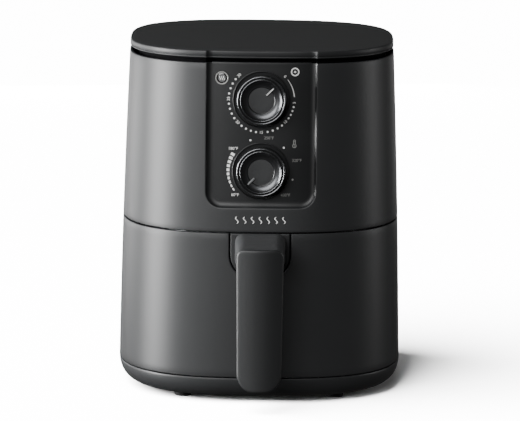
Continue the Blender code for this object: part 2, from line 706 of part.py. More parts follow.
def handle_outline(inset):
    """Return the grip's outline: small corners at the top, an almost round tip below."""
    half = HANDLE_HALF_WIDTH - inset
    tip = HANDLE_TIP_CORNER - inset
    corner = max(HANDLE_TOP_CORNER - inset * 0.3, 1.0)
    bottom, top = HANDLE_BOTTOM_Z + inset, HANDLE_TOP_Z - inset
    return rounded_outline(-half, bottom, half, top, (tip, tip, corner, corner), steps=6)


def build_tray(tray):
    """Build the perforated crisper tray and the silicone bumpers that seat it in the pan."""
    def tray_ring(z, inset):
        return plan_ring(z, TRAY_HALF_WIDTH - inset, TRAY_HALF_DEPTH - inset, PAN_POWER)

    rings = [tray_ring(0.0, 1.0), tray_ring(5.0, 0.0), tray_ring(5.0, 1.0), tray_ring(1.2, 2.0)]
    plate = skin("crisper_tray", rings, "nonstick_steel", tray)
    for row in range(-2, 3):
        for column in range(-2, 3):
            if abs(row) + abs(column) > 3:
                continue
            x, y = 26.0 * column, 28.0 * row
            cut(plate, rod(f"hole_{row}_{column}", (x, y, -3), (x, y, 8), 5.0, parent=tray, sides=6))
    reach_x = TRAY_HALF_WIDTH + TOUCH_GAP
    reach_y = TRAY_HALF_DEPTH + TOUCH_GAP
    low = PAN_BOTTOM_Z + 9.0 - TRAY_Z
    box("tray_bumper_left", (-reach_x - 3, -5, low), (-reach_x, 5, 5.0), "bumper_silicone", tray)
    box("tray_bumper_right", (reach_x, -5, low), (reach_x + 3, 5, 5.0), "bumper_silicone", tray)
    box("tray_bumper_front", (-5, -reach_y - 3, low), (5, -reach_y, 5.0), "bumper_silicone", tray)
    box("tray_bumper_rear", (-5, reach_y, low), (5, reach_y + 3, 5.0), "bumper_silicone", tray)


def element_path():
    """Return the heater's centre line: a leg, the outer turn, a hairpin, the inner turn, a leg."""
    bend = 8.0
    bend_steps, turn_steps, hairpin_steps = 6, 18, 6
    end = math.radians(345)
    runs = []
    for radius in (ELEMENT_OUTER_RADIUS, ELEMENT_INNER_RADIUS):
        swing = bend / radius
        run = [(radius, ELEMENT_LEG_ANGLE, ELEMENT_LEG_TOP_Z)]
        for i in range(bend_steps + 1):
            turn = math.pi / 2 * i / bend_steps
            angle = ELEMENT_LEG_ANGLE + swing * (1 - math.cos(turn))
            run.append((radius, angle, ELEMENT_Z + bend * (1 - math.sin(turn))))
        start = ELEMENT_LEG_ANGLE + swing
        for i in range(1, turn_steps + 1):
            run.append((radius, start + (end - start) * i / turn_steps, ELEMENT_Z))
        runs.append(run)
    middle = (ELEMENT_OUTER_RADIUS + ELEMENT_INNER_RADIUS) / 2
    half = (ELEMENT_OUTER_RADIUS - ELEMENT_INNER_RADIUS) / 2
    hairpin = []
    for i in range(1, hairpin_steps):
        turn = math.pi * i / hairpin_steps
        angle = end + half * math.sin(turn) / middle
        hairpin.append((middle + half * math.cos(turn), angle, ELEMENT_Z))
    return runs[0] + hairpin + runs[1][::-1]


def leg_place(radius):
    """Return where a leg of the heater stands, for the turn of that radius."""
    return radius * math.cos(ELEMENT_LEG_ANGLE), radius * math.sin(ELEMENT_LEG_ANGLE)


def build_element(body):
    """Build the bent tubular heating element and the ceramic bushes around its legs."""
    points = [(r * math.cos(a), r * math.sin(a), z) for r, a, z in element_path()]
    curve = bpy.data.curves.new("heating_element", "CURVE")
    curve.dimensions = "3D"
    curve.bevel_depth = ELEMENT_TUBE * MM
    curve.bevel_resolution = 2
    curve.use_fill_caps = True
    spline = curve.splines.new("POLY")
    spline.points.add(len(points) - 1)
    for knot, point in zip(spline.points, points):
        knot.co = (*(Vector(point) * MM), 1.0)
    curve.materials.append(finish("sheathed_heater"))
    element = bpy.data.objects.new("heating_element", curve)
    bpy.context.scene.collection.objects.link(element)
    element.parent = body
    for name, radius in (("outer", ELEMENT_OUTER_RADIUS), ("inner", ELEMENT_INNER_RADIUS)):
        x, y = leg_place(radius)
        ring = [(3.7, 0), (6.2, 0), (6.2, 2.2), (3.7, 2.2)]
        start = (x, y, CHAMBER_ROOF_Z + 0.4)
        turned(f"element_bush_{name}", start, (0, 0, 1), ring, "ceramic", body, 12, True)


def wire_ring(name, radius, z, wire, parent, finish_name=None):
    """Return a closed round wire about the centre line."""
    rings = []
    for i in range(20):
        angle = math.tau * i / 20
        centre = (radius * math.cos(angle), radius * math.sin(angle), z)
        rings.append(ring_about(centre, (-math.sin(angle), math.cos(angle), 0), wire, 5))
    return skin(name, rings, finish_name, parent, closed=True)


def build_chamber(body):
    """Build the steel heat chamber, the heater inside it, its wire guard and the sensor."""
    shape = (
        (CHAMBER_BOTTOM_Z, 91, 96, 3.0),
        (146.0, 90, 95, 3.0),
        (155.0, 78, 78, 2.2),
        (190.0, 76, 76, 2.0),
        (CHAMBER_ROOF_Z, 69, 69, 2.0),
    )
    sheet = 1.0
    outer = [plan_ring(z, wide, deep, power) for z, wide, deep, power in reversed(shape)]
    inner = []
    for z, wide, deep, power in shape:
        drop = sheet if z == CHAMBER_ROOF_Z else 0.0
        inner.append(plan_ring(z - drop, wide - sheet, deep - sheet, power))
    chamber = skin("heat_chamber", outer + inner, "aluminised_steel", body)
    holes = {
        "shaft": (0, 0, 4.0),
        "outer_leg": (*leg_place(ELEMENT_OUTER_RADIUS), 3.9),
        "inner_leg": (*leg_place(ELEMENT_INNER_RADIUS), 3.9),
    }
    low, high = (0, 0, SHIELD_Z), (0, 0, SHIELD_Z + sheet)
    shield = rod("heat_shield", low, high, 80.0, "aluminised_steel", body, sides=28)
    for name, (x, y, radius) in holes.items():
        cut(chamber, rod(f"{name}_roof_hole", (x, y, 191), (x, y, 198), radius, parent=body))
        cut(shield, rod(f"{name}_shield_hole", (x, y, 197), (x, y, 203), radius + 2, parent=body))
    cut(chamber, rod("sensor_hole", (0, -82, 186), (0, -70, 186), 2.2, parent=body, sides=8))
    build_element(body)

    guard = wire_ring("element_guard", 66.0, GUARD_Z, 1.3, body, "turned_steel")
    fuse(guard, wire_ring("guard_inner", 36.0, GUARD_Z, 1.3, body))
    for i in range(4):
        angle = math.radians(45 + 90 * i)
        way = Vector((math.cos(angle), math.sin(angle), 0))
        high = Vector((0, 0, GUARD_Z))
        low, high = way * 30 + high, way * 75.4 + high
        fuse(guard, rod(f"guard_spoke_{i}", low, high, 1.2, parent=body, sides=6))

    sensor = rod("thermostat_sensor", (0, -80.3, 186), (0, -66, 186), 1.2, "turned_steel", body, sides=8)
    fuse(sensor, rod("sensor_bulb", (-22, -66.5, 186), (22, -66.5, 186), 2.6, parent=body, sides=10))
    low, high = (0, 66, SHIELD_Z + 1.4), (0, 66, SHIELD_Z + 7)
    rod("thermal_fuse", low, high, 6.0, "ceramic", body, sides=12)


def build_fan(name, radius, disc_z, blade_low, blade_high, blades, finish_name, axis):
    """Build a pressed radial fan: a disc with a bore and upright blades joined to it."""
    bore = MOTOR_SHAFT_RADIUS + 0.35
    profile = [(bore, 0), (radius, 0), (radius, 1.0), (bore, 1.0)]
    fan = turned(name, (0, 0, disc_z), (0, 0, 1), profile, finish_name, axis, closed=True)
    for i in range(blades):
        low, high = (radius * 0.4, -0.6, blade_low), (radius * 0.97, 0.6, blade_high)
        blade = box(f"{name}_blade_{i}", low, high, parent=axis)
        blade.rotation_euler.z = math.tau * i / blades
        fuse(fan, blade)


def build_motor(body, axis):
    """Build the shaded-pole motor on its bracket, with the shaft that carries both fans."""
    for name, radius, disc_z, low, high, blades, metal in (
        ("convection_fan", 42.0, 187.0, 179.0, 187.5, 8, "cast_aluminium"),
        ("cooling_fan", 46.0, 204.5, 205.0, 213.5, 8, "aluminised_steel"),
    ):
        build_fan(name, radius, disc_z, low, high, blades, metal, axis)
    rod("motor_shaft", (0, 0, 177), (0, 0, 246), MOTOR_SHAFT_RADIUS, "turned_steel", axis, sides=12)
    bore = MOTOR_SHAFT_RADIUS + 0.35
    ring = [(bore, 0), (12.0, 0), (12.0, 18.0), (bore, 18.0)]
    start = (0, 0, 220.4)
    turned("motor_rotor", start, (0, 0, 1), ring, "laminated_iron", axis, sides=20, closed=True)

    leg_x, plate_z = 62.0, 217.4
    foot_z = SHIELD_Z + 1.0 + TOUCH_GAP
    outline = [
        (-leg_x - 8, foot_z),
        (-leg_x + 1.2, foot_z),
        (-leg_x + 1.2, plate_z),
        (leg_x - 1.2, plate_z),
        (leg_x - 1.2, foot_z),
        (leg_x + 8, foot_z),
        (leg_x + 8, foot_z + 1.2),
        (leg_x, foot_z + 1.2),
        (leg_x, plate_z + 1.2),
        (-leg_x, plate_z + 1.2),
        (-leg_x, foot_z + 1.2),
        (-leg_x - 8, foot_z + 1.2),
    ]
    bracket = prism("motor_bracket", outline, -13, 6.5, "aluminised_steel", body)
    cut(bracket, rod("bracket_hole", (0, 0, 210), (0, 0, 222), 5.0, parent=body))
    plan = rounded_outline(-26, -20, 26, 34, (3, 3, 3, 3), steps=1)
    rings = [[(x, y, z) for x, y in plan] for z in (219.2, 238.0)]
    stator = skin("motor_stator", rings, "laminated_iron", body)
    cut(stator, rod("stator_bore", (0, 0, 215), (0, 0, 242), 12.7, parent=body, sides=20))
    cut(stator, box("stator_window", (-14, 15.5, 215), (14, 24, 242), parent=body))
    coil = box("motor_coil", (-12.5, 18.5, 214.5), (12.5, 39, 242.5), "copper_winding", body)
    cut(coil, box("coil_bore", (-20, 23.6, 218.7), (20, 34.4, 238.5), parent=body))


def main():
    """Build every part of the air fryer under its own parent."""
    clear_scene()
    body = empty("assembly", (0, BODY_Y, 0))
    drawer = empty("drawer_slide_axis", (0, 0, 0), body)
    tray = empty("tray_lift_axis", (0, 0, TRAY_Z), drawer)
    fan_axis = empty("fan_axis", (0, 0, 0), body)
    build_cover(body)
    build_housing(body)
    build_base(body)
    build_bay(body)
    build_rear(body)
    build_controls(body)
    build_drawer(drawer)
    build_handle(drawer)
    build_tray(tray)
    build_chamber(body)
    build_motor(body, fan_axis)


main()
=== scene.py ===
"""Finished look of a drawer air fryer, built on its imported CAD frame.

Lengths are in millimetres in the frame's own axes (the front with the handle faces -Y and
+Z is up) and MM turns them into metres where a mesh is made. Each sub-assembly is a class:
its sizes are fields, and its methods build the meshes and dress them. Geometry Nodes sweep
the level curves of the casing, drape what follows its surface, and make what repeats.
"""

import functools
import json
import logging
import math
from collections.abc import Callable, Iterable, Sequence
from dataclasses import dataclass, field, replace
from enum import Enum

import bmesh
import bpy
from mathutils import Matrix, Vector


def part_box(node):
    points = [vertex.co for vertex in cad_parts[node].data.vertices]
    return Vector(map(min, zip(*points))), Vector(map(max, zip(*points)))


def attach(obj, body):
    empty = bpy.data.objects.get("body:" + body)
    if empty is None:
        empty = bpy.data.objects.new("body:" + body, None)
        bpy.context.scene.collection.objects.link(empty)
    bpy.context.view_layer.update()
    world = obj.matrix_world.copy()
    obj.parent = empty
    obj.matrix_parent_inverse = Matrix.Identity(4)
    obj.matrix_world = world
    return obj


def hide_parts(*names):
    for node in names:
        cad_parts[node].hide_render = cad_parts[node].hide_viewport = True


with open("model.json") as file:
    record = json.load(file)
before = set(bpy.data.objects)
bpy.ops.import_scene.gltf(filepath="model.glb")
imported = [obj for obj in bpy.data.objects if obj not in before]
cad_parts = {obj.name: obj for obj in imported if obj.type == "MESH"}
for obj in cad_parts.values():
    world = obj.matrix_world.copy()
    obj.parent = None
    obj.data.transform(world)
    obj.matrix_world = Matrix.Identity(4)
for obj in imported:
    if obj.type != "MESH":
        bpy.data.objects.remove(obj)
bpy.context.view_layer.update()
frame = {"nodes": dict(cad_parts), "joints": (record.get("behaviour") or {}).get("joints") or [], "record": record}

MM = 0.001
SHARP = math.radians(38)
# Power of the curve by which the recess's edge sinks: under 1, it is steep at the top
RECESS_CURVE = 0.6
WELD = 1e-6
CORNERS = ("front_left", "front_right", "rear_left", "rear_right")
LOG = logging.getLogger("air_fryer")

Pair = tuple[float, float]
Ring = list[Vector]


# ---------------------------------------------------------------------------------------
# Nodes and finishes
# ---------------------------------------------------------------------------------------


def linear(colour: str) -> tuple[float, float, float, float]:
    """Turn an sRGB hex colour into a linear RGBA tuple.

    Args:
        colour: Six hex digits, red first.

    Returns:
        The linear colour with full alpha.
    """
    channels = []
    for start in (0, 2, 4):
        value = int(colour[start : start + 2], 16) / 255
        low = value <= 0.04045
        channels.append(value / 12.92 if low else ((value + 0.055) / 1.055) ** 2.4)
    return (*channels, 1.0)


def add_node(tree: bpy.types.NodeTree, kind: str, inputs: dict | None = None, **settings) -> None:
    """Add one node with its settings and what feeds it.

    Args:
        tree: The tree that gets the node.
        kind: Blender's name for the node.
        inputs: Socket name or number, to a plain value or to the output that feeds it.
        **settings: Properties of the node itself.

    Returns:
        The new node.
    """
    node = tree.nodes.new(kind)
    for key, value in settings.items():
        setattr(node, key, value)
    for key, value in (inputs or {}).items():
        if isinstance(value, bpy.types.NodeSocket):
            tree.links.new(value, node.inputs[key])
        else:
            node.inputs[key].default_value = value
    return node


class Grain(Enum):
    """How a surface was made: the stretch of its fine relief along X, Y and Z."""

    MOULDED = (1.0, 1.0, 1.0)
    ROLLED = (12.0, 1.0, 1.0)
    DRAWN = (1.0, 1.0, 9.0)
    SPUN = (0.0, 0.0, 0.0)


@dataclass(frozen=True)
class Finish:
    """One finish: its colour, its gloss, and the relief that its making leaves.

    The real grain of a mould or a mill is too fine to show in the render, so grain_mm is
    as coarse as it needs to be to show.
    """

    name: str
    colour: str
    roughness: float
    grain: Grain = Grain.MOULDED
    grain_mm: float = 0.9
    relief_mm: float = 0.010
    mottle: float = 0.10
    mottle_mm: float = 22.0
    metallic: float = 0.0
    ior: float = 1.5
    specular: float = 0.5
    coat: float = 0.0
    coat_roughness: float = 0.1

    def material(self) -> bpy.types.Material:
        """Return the finish as a Principled material, made once.

        Returns:
            The material.
        """
        found = bpy.data.materials.get(self.name)
        if found:
            return found
        made = bpy.data.materials.new(self.name)
        made.use_nodes = True
        tree = made.node_tree
        tree.nodes.clear()
        relief, broad = self.relief(tree), self.broad(tree)
        soft = tuple(channel * (1 - self.mottle) for channel in linear(self.colour)[:3])
        colour = add_node(
            tree,
            "ShaderNodeMix",
            {0: broad, 6: (*soft, 1.0), 7: linear(self.colour)},
            data_type="RGBA",
        )
        gloss = add_node(
            tree,
            "ShaderNodeMapRange",
            {"Value": relief, "To Min": self.roughness - 0.04, "To Max": self.roughness + 0.04},
        )
        bump = add_node(
            tree,
            "ShaderNodeBump",
            {"Height": relief, "Strength": 1.0, "Distance": self.relief_mm * MM},
        )
        shader = add_node(
            tree,
            "ShaderNodeBsdfPrincipled",
            {
                "Base Color": colour.outputs[2],
                "Roughness": gloss.outputs[0],
                "Normal": bump.outputs[0],
                "Metallic": self.metallic,
                "IOR": self.ior,
                "Specular IOR Level": self.specular,
                "Coat Weight": self.coat,
                "Coat Roughness": self.coat_roughness,
            },
        )
        add_node(tree, "ShaderNodeOutputMaterial", {"Surface": shader.outputs[0]})
        made.diffuse_color = linear(self.colour)
        return made

    def relief(self, tree: bpy.types.NodeTree) -> bpy.types.NodeSocket:
        """Return the height of the fine relief: stretched noise, or rays round a turned face.

        Args:
            tree: The tree that gets the nodes.

        Returns:
            The socket of the height.
        """
        if self.grain is Grain.SPUN:
            place = add_node(tree, "ShaderNodeTexCoord").outputs["UV"]
            stretch = (1.0 / self.grain_mm, 0.02 / self.grain_mm, 1.0)
        else:
            place = add_node(tree, "ShaderNodeTexCoord").outputs["Object"]
            stretch = tuple(1.0 / (self.grain_mm * MM * axis) for axis in self.grain.value)
        spread = add_node(tree, "ShaderNodeMapping", {"Vector": place, "Scale": stretch})
        noise = add_node(
            tree,
            "ShaderNodeTexNoise",
            {"Vector": spread.outputs[0], "Scale": 1.0, "Detail": 3.0, "Roughness": 0.6},
        )
        return noise.outputs[0]

    def broad(self, tree: bpy.types.NodeTree) -> bpy.types.NodeSocket:
        """Return the slow drift of colour that flow in the mould or wear of a coat leaves.

        Args:
            tree: The tree that gets the nodes.

        Returns:
            The socket of the drift.
        """
        place = add_node(tree, "ShaderNodeTexCoord").outputs["Object"]
        noise = add_node(
            tree,
            "ShaderNodeTexNoise",
            {"Vector": place, "Scale": 1.0 / (self.mottle_mm * MM), "Detail": 2.0},
        )
        return noise.outputs[0]


# Polypropylene from a finely spark-eroded mould: dull, with a soft wide sheen
CASING_PP = Finish("moulded_polypropylene_charcoal", "2a2b2c", 0.47, relief_mm=0.012)
# The same plastic from a slightly smoother mould
COVER_PP = Finish("moulded_polypropylene_cover", "242526", 0.50, relief_mm=0.010)
# ABS with a satin face, which shows the printed marks cleanly
PANEL_ABS = Finish("satin_abs_panel", "18191a", 0.42, relief_mm=0.006, mottle=0.06)
# Glass-filled nylon, satin: the grip takes a softer, slightly lighter sheen
HANDLE_NYLON = Finish("satin_glass_filled_nylon", "262728", 0.46, relief_mm=0.010)
# The same nylon from a finely textured mould, painted lighter than the plate's: painted light for the light that
# the arm's top catches
LIT_SHELL_NYLON = Finish("textured_glass_filled_nylon", "3a3b3c", 0.5, relief_mm=0.012)
# Heat-resistant plastic inside the machine, dull black
INNER_PLASTIC = Finish("heat_resistant_plastic_black", "19191a", 0.55, relief_mm=0.015)
# The same plastic left rough and painted near black with almost no gloss: painted shade for the deep gap under the
# cover and the gap round the handle's seat, so that it takes almost no light
PAINTED_SHADE_PLASTIC = Finish(
    "rough_plastic_gap", "08080a", 0.9, relief_mm=0.01, mottle=0.05, specular=0.08
)
# Polished black ABS of the dials' rims
DIAL_ABS = Finish("polished_abs_dial", "1c1d1e", 0.26, relief_mm=0.002, mottle=0.03)
# Dark chrome plate on the dials' two beads, which draws thin bright rings
DIAL_PLATE = Finish(
    "dark_chrome_plated_abs", "77787a", 0.26, relief_mm=0.001, mottle=0.03, metallic=1.0
)
# Matt centre of the dials
DIAL_FACE = Finish("matt_abs_dial_face", "2e2f30", 0.55, relief_mm=0.008, mottle=0.04)
# Spun dark metal foil in the dials' bowls: fine rays that spread a bright reflection
DIAL_FOIL = Finish(
    "spun_dark_foil", "5e5f61", 0.30, Grain.SPUN, 0.0035, 0.012, mottle=0.05, metallic=1.0
)
# Screen-printed ink, a little proud of the panel
INK_WHITE = Finish("screen_ink_white", "f4f4f2", 0.5, relief_mm=0.004, mottle=0.02)
INK_GREY = Finish("screen_ink_grey", "8c8c8a", 0.5, relief_mm=0.004, mottle=0.04)
# Pearl print of the dials' pointers
POINTER_INK = Finish("pearl_ink_pointer", "b9bab8", 0.35, relief_mm=0.003, mottle=0.03)
# Bare satin ABS of the other dial's pointer, darker than the print
POINTER_GREY = Finish("satin_abs_pointer", "6e6f70", 0.35, relief_mm=0.003, mottle=0.03)
# Smoked acrylic over the indicator lamp, glossy
LENS_ACRYLIC = Finish(
    "smoked_acrylic", "232221", 0.14, relief_mm=0.001, mottle=0.03, coat=1.0, coat_roughness=0.05
)
# The lamp's printed disc behind the acrylic
LENS_DISC = Finish("printed_lamp_disc", "5a5b5c", 0.4, relief_mm=0.02, mottle=0.5, mottle_mm=1.2)
# Moulded rubber of the feet: nearly black, with no shine at all
FOOT_RUBBER = Finish("moulded_rubber_black", "101010", 0.8, relief_mm=0.03)
# Moulded silicone of the tray's bumpers: soft grey, with a faint bloom
BUMPER_SILICONE = Finish("moulded_silicone_grey", "303031", 0.68, relief_mm=0.01)
# Sprayed and baked non-stick coat: dark, with the coat's slight orange peel
NONSTICK = Finish(
    "baked_nonstick_coat",
    "19191a",
    0.36,
    grain_mm=1.6,
    relief_mm=0.02,
    coat=0.25,
    coat_roughness=0.3,
)
# Aluminised steel sheet: pale and satin, with the mill's lines along it
ALUMINISED = Finish(
    "aluminised_steel_sheet", "b4b6b8", 0.36, Grain.ROLLED, 0.6, 0.006, metallic=1.0, mottle=0.12
)
# Steel sheath that the heat has tinted brown, in uneven patches
HEATER_SHEATH = Finish(
    "heat_tinted_steel_sheath", "4c4845", 0.48, Grain.MOULDED, 1.4, 0.015, metallic=1.0, mottle=0.35
)
# Zinc-plated steel, drawn: bright, with streaks along the bar
BRIGHT_STEEL = Finish(
    "zinc_plated_steel", "a9abad", 0.28, Grain.DRAWN, 0.5, 0.004, metallic=1.0, mottle=0.08
)
# Stacked motor iron: dull grey, with the edges of the sheets as lines
IRON = Finish("stacked_motor_iron", "56585c", 0.46, Grain.ROLLED, 0.5, 0.02, metallic=1.0)
# Pressed aluminium of the fan: light, with soft rolling lines
FAN_ALUMINIUM = Finish(
    "pressed_aluminium", "c2c4c6", 0.38, Grain.ROLLED, 0.7, 0.006, metallic=1.0
)
# Enamelled copper wire: warm and glossy, ribbed where the turns lie side by side
COPPER = Finish("enamelled_copper_winding", "a9643a", 0.36, Grain.ROLLED, 0.6, 0.05, metallic=1.0)
# Unglazed ceramic: off-white, dry and slightly grainy
CERAMIC = Finish("unglazed_ceramic", "d6d2c6", 0.6, relief_mm=0.02)
# Natural nylon: milky white, with a low sheen
NYLON = Finish("natural_nylon", "d8d6ce", 0.45, relief_mm=0.008)

SLOT_FINISHES = {
    "casing_plastic": CASING_PP,
    "cover_plastic": COVER_PP,
    "panel_plastic": PANEL_ABS,
    "knob_plastic": DIAL_ABS,
    "handle_plastic": HANDLE_NYLON,
    "inner_plastic": INNER_PLASTIC,
    "lens_plastic": LENS_ACRYLIC,
    "foot_rubber": FOOT_RUBBER,
    "bumper_silicone": BUMPER_SILICONE,
    "nonstick_steel": NONSTICK,
    "aluminised_steel": ALUMINISED,
    "sheathed_heater": HEATER_SHEATH,
    "turned_steel": BRIGHT_STEEL,
    "laminated_iron": IRON,
    "cast_aluminium": FAN_ALUMINIUM,
    "copper_winding": COPPER,
    "ceramic": CERAMIC,
    "nylon": NYLON,
}


# ---------------------------------------------------------------------------------------
# Meshes
# ---------------------------------------------------------------------------------------


def to_mesh(name: str, shape: bmesh.types.BMesh, recalculate: bool = True) -> bpy.types.Mesh:
    """Turn a bmesh in millimetres into a mesh in metres, smooth with its edges sharp.

    Args:
        name: Name of the mesh.
        shape: The bmesh, which is freed.
        recalculate: Whether the faces are turned outward.

    Returns:
        The mesh, in metres.
    """
    bmesh.ops.scale(shape, vec=(MM, MM, MM), verts=shape.verts)
    if recalculate:
        bmesh.ops.recalc_face_normals(shape, faces=shape.faces)
    mesh = bpy.data.meshes.new(name)
    shape.to_mesh(mesh)
    shape.free()
    mesh.shade_smooth()
    mesh.set_sharp_from_angle(angle=SHARP)
    return mesh


def loft(
    shape: bmesh.types.BMesh, rings: Sequence[Sequence], capped: bool, closed: bool = False
) -> None:
    """Join rings of equal length into a skin.

    Args:
        shape: The bmesh that gets the faces.
        rings: Closed rings of points, in order along the skin.
        capped: Whether the first and last rings are filled.
        closed: Whether the last ring joins the first one.
    """
    loops = [[shape.verts.new(point) for point in ring] for ring in rings]
    pairs = list(zip(loops, loops[1:]))
    if closed:
        pairs.append((loops[-1], loops[0]))
    for lower, upper in pairs:
        for i, corner in enumerate(lower):
            j = (i + 1) % len(lower)
            shape.faces.new((corner, lower[j], upper[j], upper[i]))
    if capped:
        shape.faces.new(loops[0][::-1])
        shape.faces.new(loops[-1])


def lofted(
    name: str, rings: Sequence[Sequence], capped: bool = True, closed: bool = False
) -> bpy.types.Mesh:
    """Return the skin through rings of equal length, as a mesh of its own.

    Args:
        name: Name of the mesh.
        rings: Closed rings of points, in order along the skin.
        capped: Whether the first and last rings are filled.
        closed: Whether the last ring joins the first one.

    Returns:
        The mesh, in metres.
    """
    shape = bmesh.new()
    loft(shape, rings, capped, closed)
    return to_mesh(name, shape)


def circle(centre: Vector, way: Vector, radius: float, sides: int) -> Ring:
    """Return a ring of points about a centre, square to a direction.

    Args:
        centre: Centre of the ring.
        way: Direction that the ring faces.
        radius: Radius of it.
        sides: Number of its points.

    Returns:
        Its points.
    """
    turn = Vector((0, 0, 1)).rotation_difference(way.normalized())
    spokes = [math.tau * i / sides for i in range(sides)]
    return [
        centre + turn @ Vector((radius * math.cos(a), radius * math.sin(a), 0)) for a in spokes
    ]


def arc(start: Pair, end: Pair, bulge: float, steps: int = 5) -> list[Pair]:
    """Return points on a circular arc between two profile points.

    Args:
        start: First point.
        end: Last point.
        bulge: Sagitta as a share of half the chord, positive to the right of the way.
        steps: How many pieces the arc is cut into.

    Returns:
        The points, both ends included.
    """
    a, b = Vector(start), Vector(end)
    side = Vector((b.y - a.y, a.x - b.x)) * 0.5 * bulge
    points = []
    for i in range(steps + 1):
        t = i / steps
        points.append(tuple(a.lerp(b, t) + side * 4 * t * (1 - t)))
    return points


def bead(radius: float, along: float, size: float, steps: int = 8) -> list[Pair]:
    """Return the half round of a bead on a turned face, from its inner side to its outer."""
    turns = [math.pi * i / steps for i in range(steps + 1)]
    return [(radius - size * math.cos(t), along - size * math.sin(t)) for t in turns]


def turned(
    name: str,
    origin: Vector,
    axis: Vector,
    profile: Sequence[Pair],
    sides: int = 96,
    closed: bool = False,
) -> bpy.types.Mesh:
    """Turn a profile about an axis, with a UV map of (turn, length along the profile).

    Args:
        name: Name of the mesh.
        origin: Point on the axis that profile distances start from.
        axis: Direction of growing distance.
        profile: Points of (radius, distance).
        sides: How many steps make a full turn.
        closed: Whether the profile's last point joins its first.

    Returns:
        The mesh, in metres.
    """
    way = axis.normalized()
    shape = bmesh.new()
    rings = [circle(origin + way * y, way, max(radius, 0.001), sides) for radius, y in profile]
    loft(shape, rings, capped=not closed, closed=closed)
    layer = shape.loops.layers.uv.new("turned")
    lengths = [0.0]
    for low, high in zip(profile, profile[1:]):
        lengths.append(lengths[-1] + math.dist(low, high))
    shape.verts.index_update()
    for face in shape.faces:
        steps = [loop.vert.index % sides for loop in face.loops]
        wraps = max(steps) - min(steps) > sides / 2
        for loop, step in zip(face.loops, steps):
            along = lengths[(loop.vert.index // sides) % len(lengths)]
            whole = step + sides if wraps and step == 0 else step
            loop[layer].uv = (whole / sides, along / lengths[-1])
    return to_mesh(name, shape)


def rounded_outline(
    left: float,
    bottom: float,
    right: float,
    top: float,
    corners: Sequence[float],
    steps: int = 8,
    pieces: tuple[int, int] = (1, 1),
) -> list[Pair]:
    """Return a rectangle's outline with rounded corners, from the lower left, anticlockwise.

    Args:
        left: Lowest X.
        bottom: Lowest Z.
        right: Highest X.
        top: Highest Z.
        corners: Radius of each corner, in the same order.
        steps: How many pieces each corner is cut into.
        pieces: How many pieces each level and each upright run is cut into.

    Returns:
        The points.
    """
    centres = (
        (left + corners[0], bottom + corners[0], 180),
        (right - corners[1], bottom + corners[1], 270),
        (right - corners[2], top - corners[2], 0),
        (left + corners[3], top - corners[3], 90),
    )
    runs = []
    for (x, z, first), radius in zip(centres, corners):
        turns = [math.radians(first + 90 * i / steps) for i in range(steps + 1)]
        runs.append([(x + radius * math.cos(a), z + radius * math.sin(a)) for a in turns])
    points = []
    for number, run in enumerate(runs):
        points.extend(run)
        start, end = Vector(run[-1]), Vector(runs[(number + 1) % 4][0])
        count = pieces[number % 2]
        points.extend(tuple(start.lerp(end, i / count)) for i in range(1, count))
    return points


def upright(outline: Iterable[Pair], depths: Iterable[float]) -> list[list[tuple]]:
    """Return rings that repeat an outline of (x, z) at each Y."""
    return [[(x, y, z) for x, z in outline] for y in depths]


def blocks(
    name: str, corners: Iterable[tuple[Sequence[float], Sequence[float]]], edge: float = 0.0
) -> bpy.types.Mesh:
    """Return blocks between pairs of corners, their upright edges rounded.

    Args:
        name: Name of the mesh.
        corners: Lowest and highest corner of each block.
        edge: Radius of the upright edges.

    Returns:
        The mesh, in metres.
    """
    shape = bmesh.new()
    for low, high in corners:
        outline = rounded_outline(*low[:2], *high[:2], [max(edge, 0.01)] * 4, steps=3)
        loft(shape, [[(x, y, z) for x, y in outline] for z in (low[2], high[2])], capped=True)
    return to_mesh(name, shape)


def evaluated(item: bpy.types.Object) -> bpy.types.Mesh:
    """Return an object's mesh with its modifiers applied, and remove the object.

    Args:
        item: The object, which is removed.

    Returns:
        The mesh.
    """
    bpy.context.view_layer.update()
    graph = bpy.context.evaluated_depsgraph_get()
    mesh = bpy.data.meshes.new_from_object(item.evaluated_get(graph))
    bpy.data.objects.remove(item)
    return mesh


def bench(name: str, mesh: bpy.types.Mesh) -> bpy.types.Object:
    """Put a mesh on an object of its own for a modifier to work on.

    Args:
        name: Name of the object.
        mesh: The mesh to work on.

    Returns:
        The object.
    """
    item = bpy.data.objects.new(name, mesh)
    bpy.context.scene.collection.objects.link(item)
    return item


def combined(
    mesh: bpy.types.Mesh, tools: Sequence[bpy.types.Mesh], operation: str
) -> bpy.types.Mesh:
    """Return a mesh after one exact Boolean with each tool mesh in turn.

    Args:
        mesh: The mesh that is changed.
        tools: The tool meshes.
        operation: Kind of Boolean.

    Returns:
        The changed mesh.
    """
    item = bench(mesh.name, mesh)
    helpers = []
    for number, tool in enumerate(tools):
        helper = bench(f"{mesh.name}_tool_{number}", tool)
        modifier = item.modifiers.new(f"boolean_{number}", "BOOLEAN")
        modifier.operation = operation
        modifier.solver = "EXACT"
        modifier.object = helper
        helpers.append(helper)
    result = evaluated(item)
    for helper in helpers:
        bpy.data.objects.remove(helper)
    return result


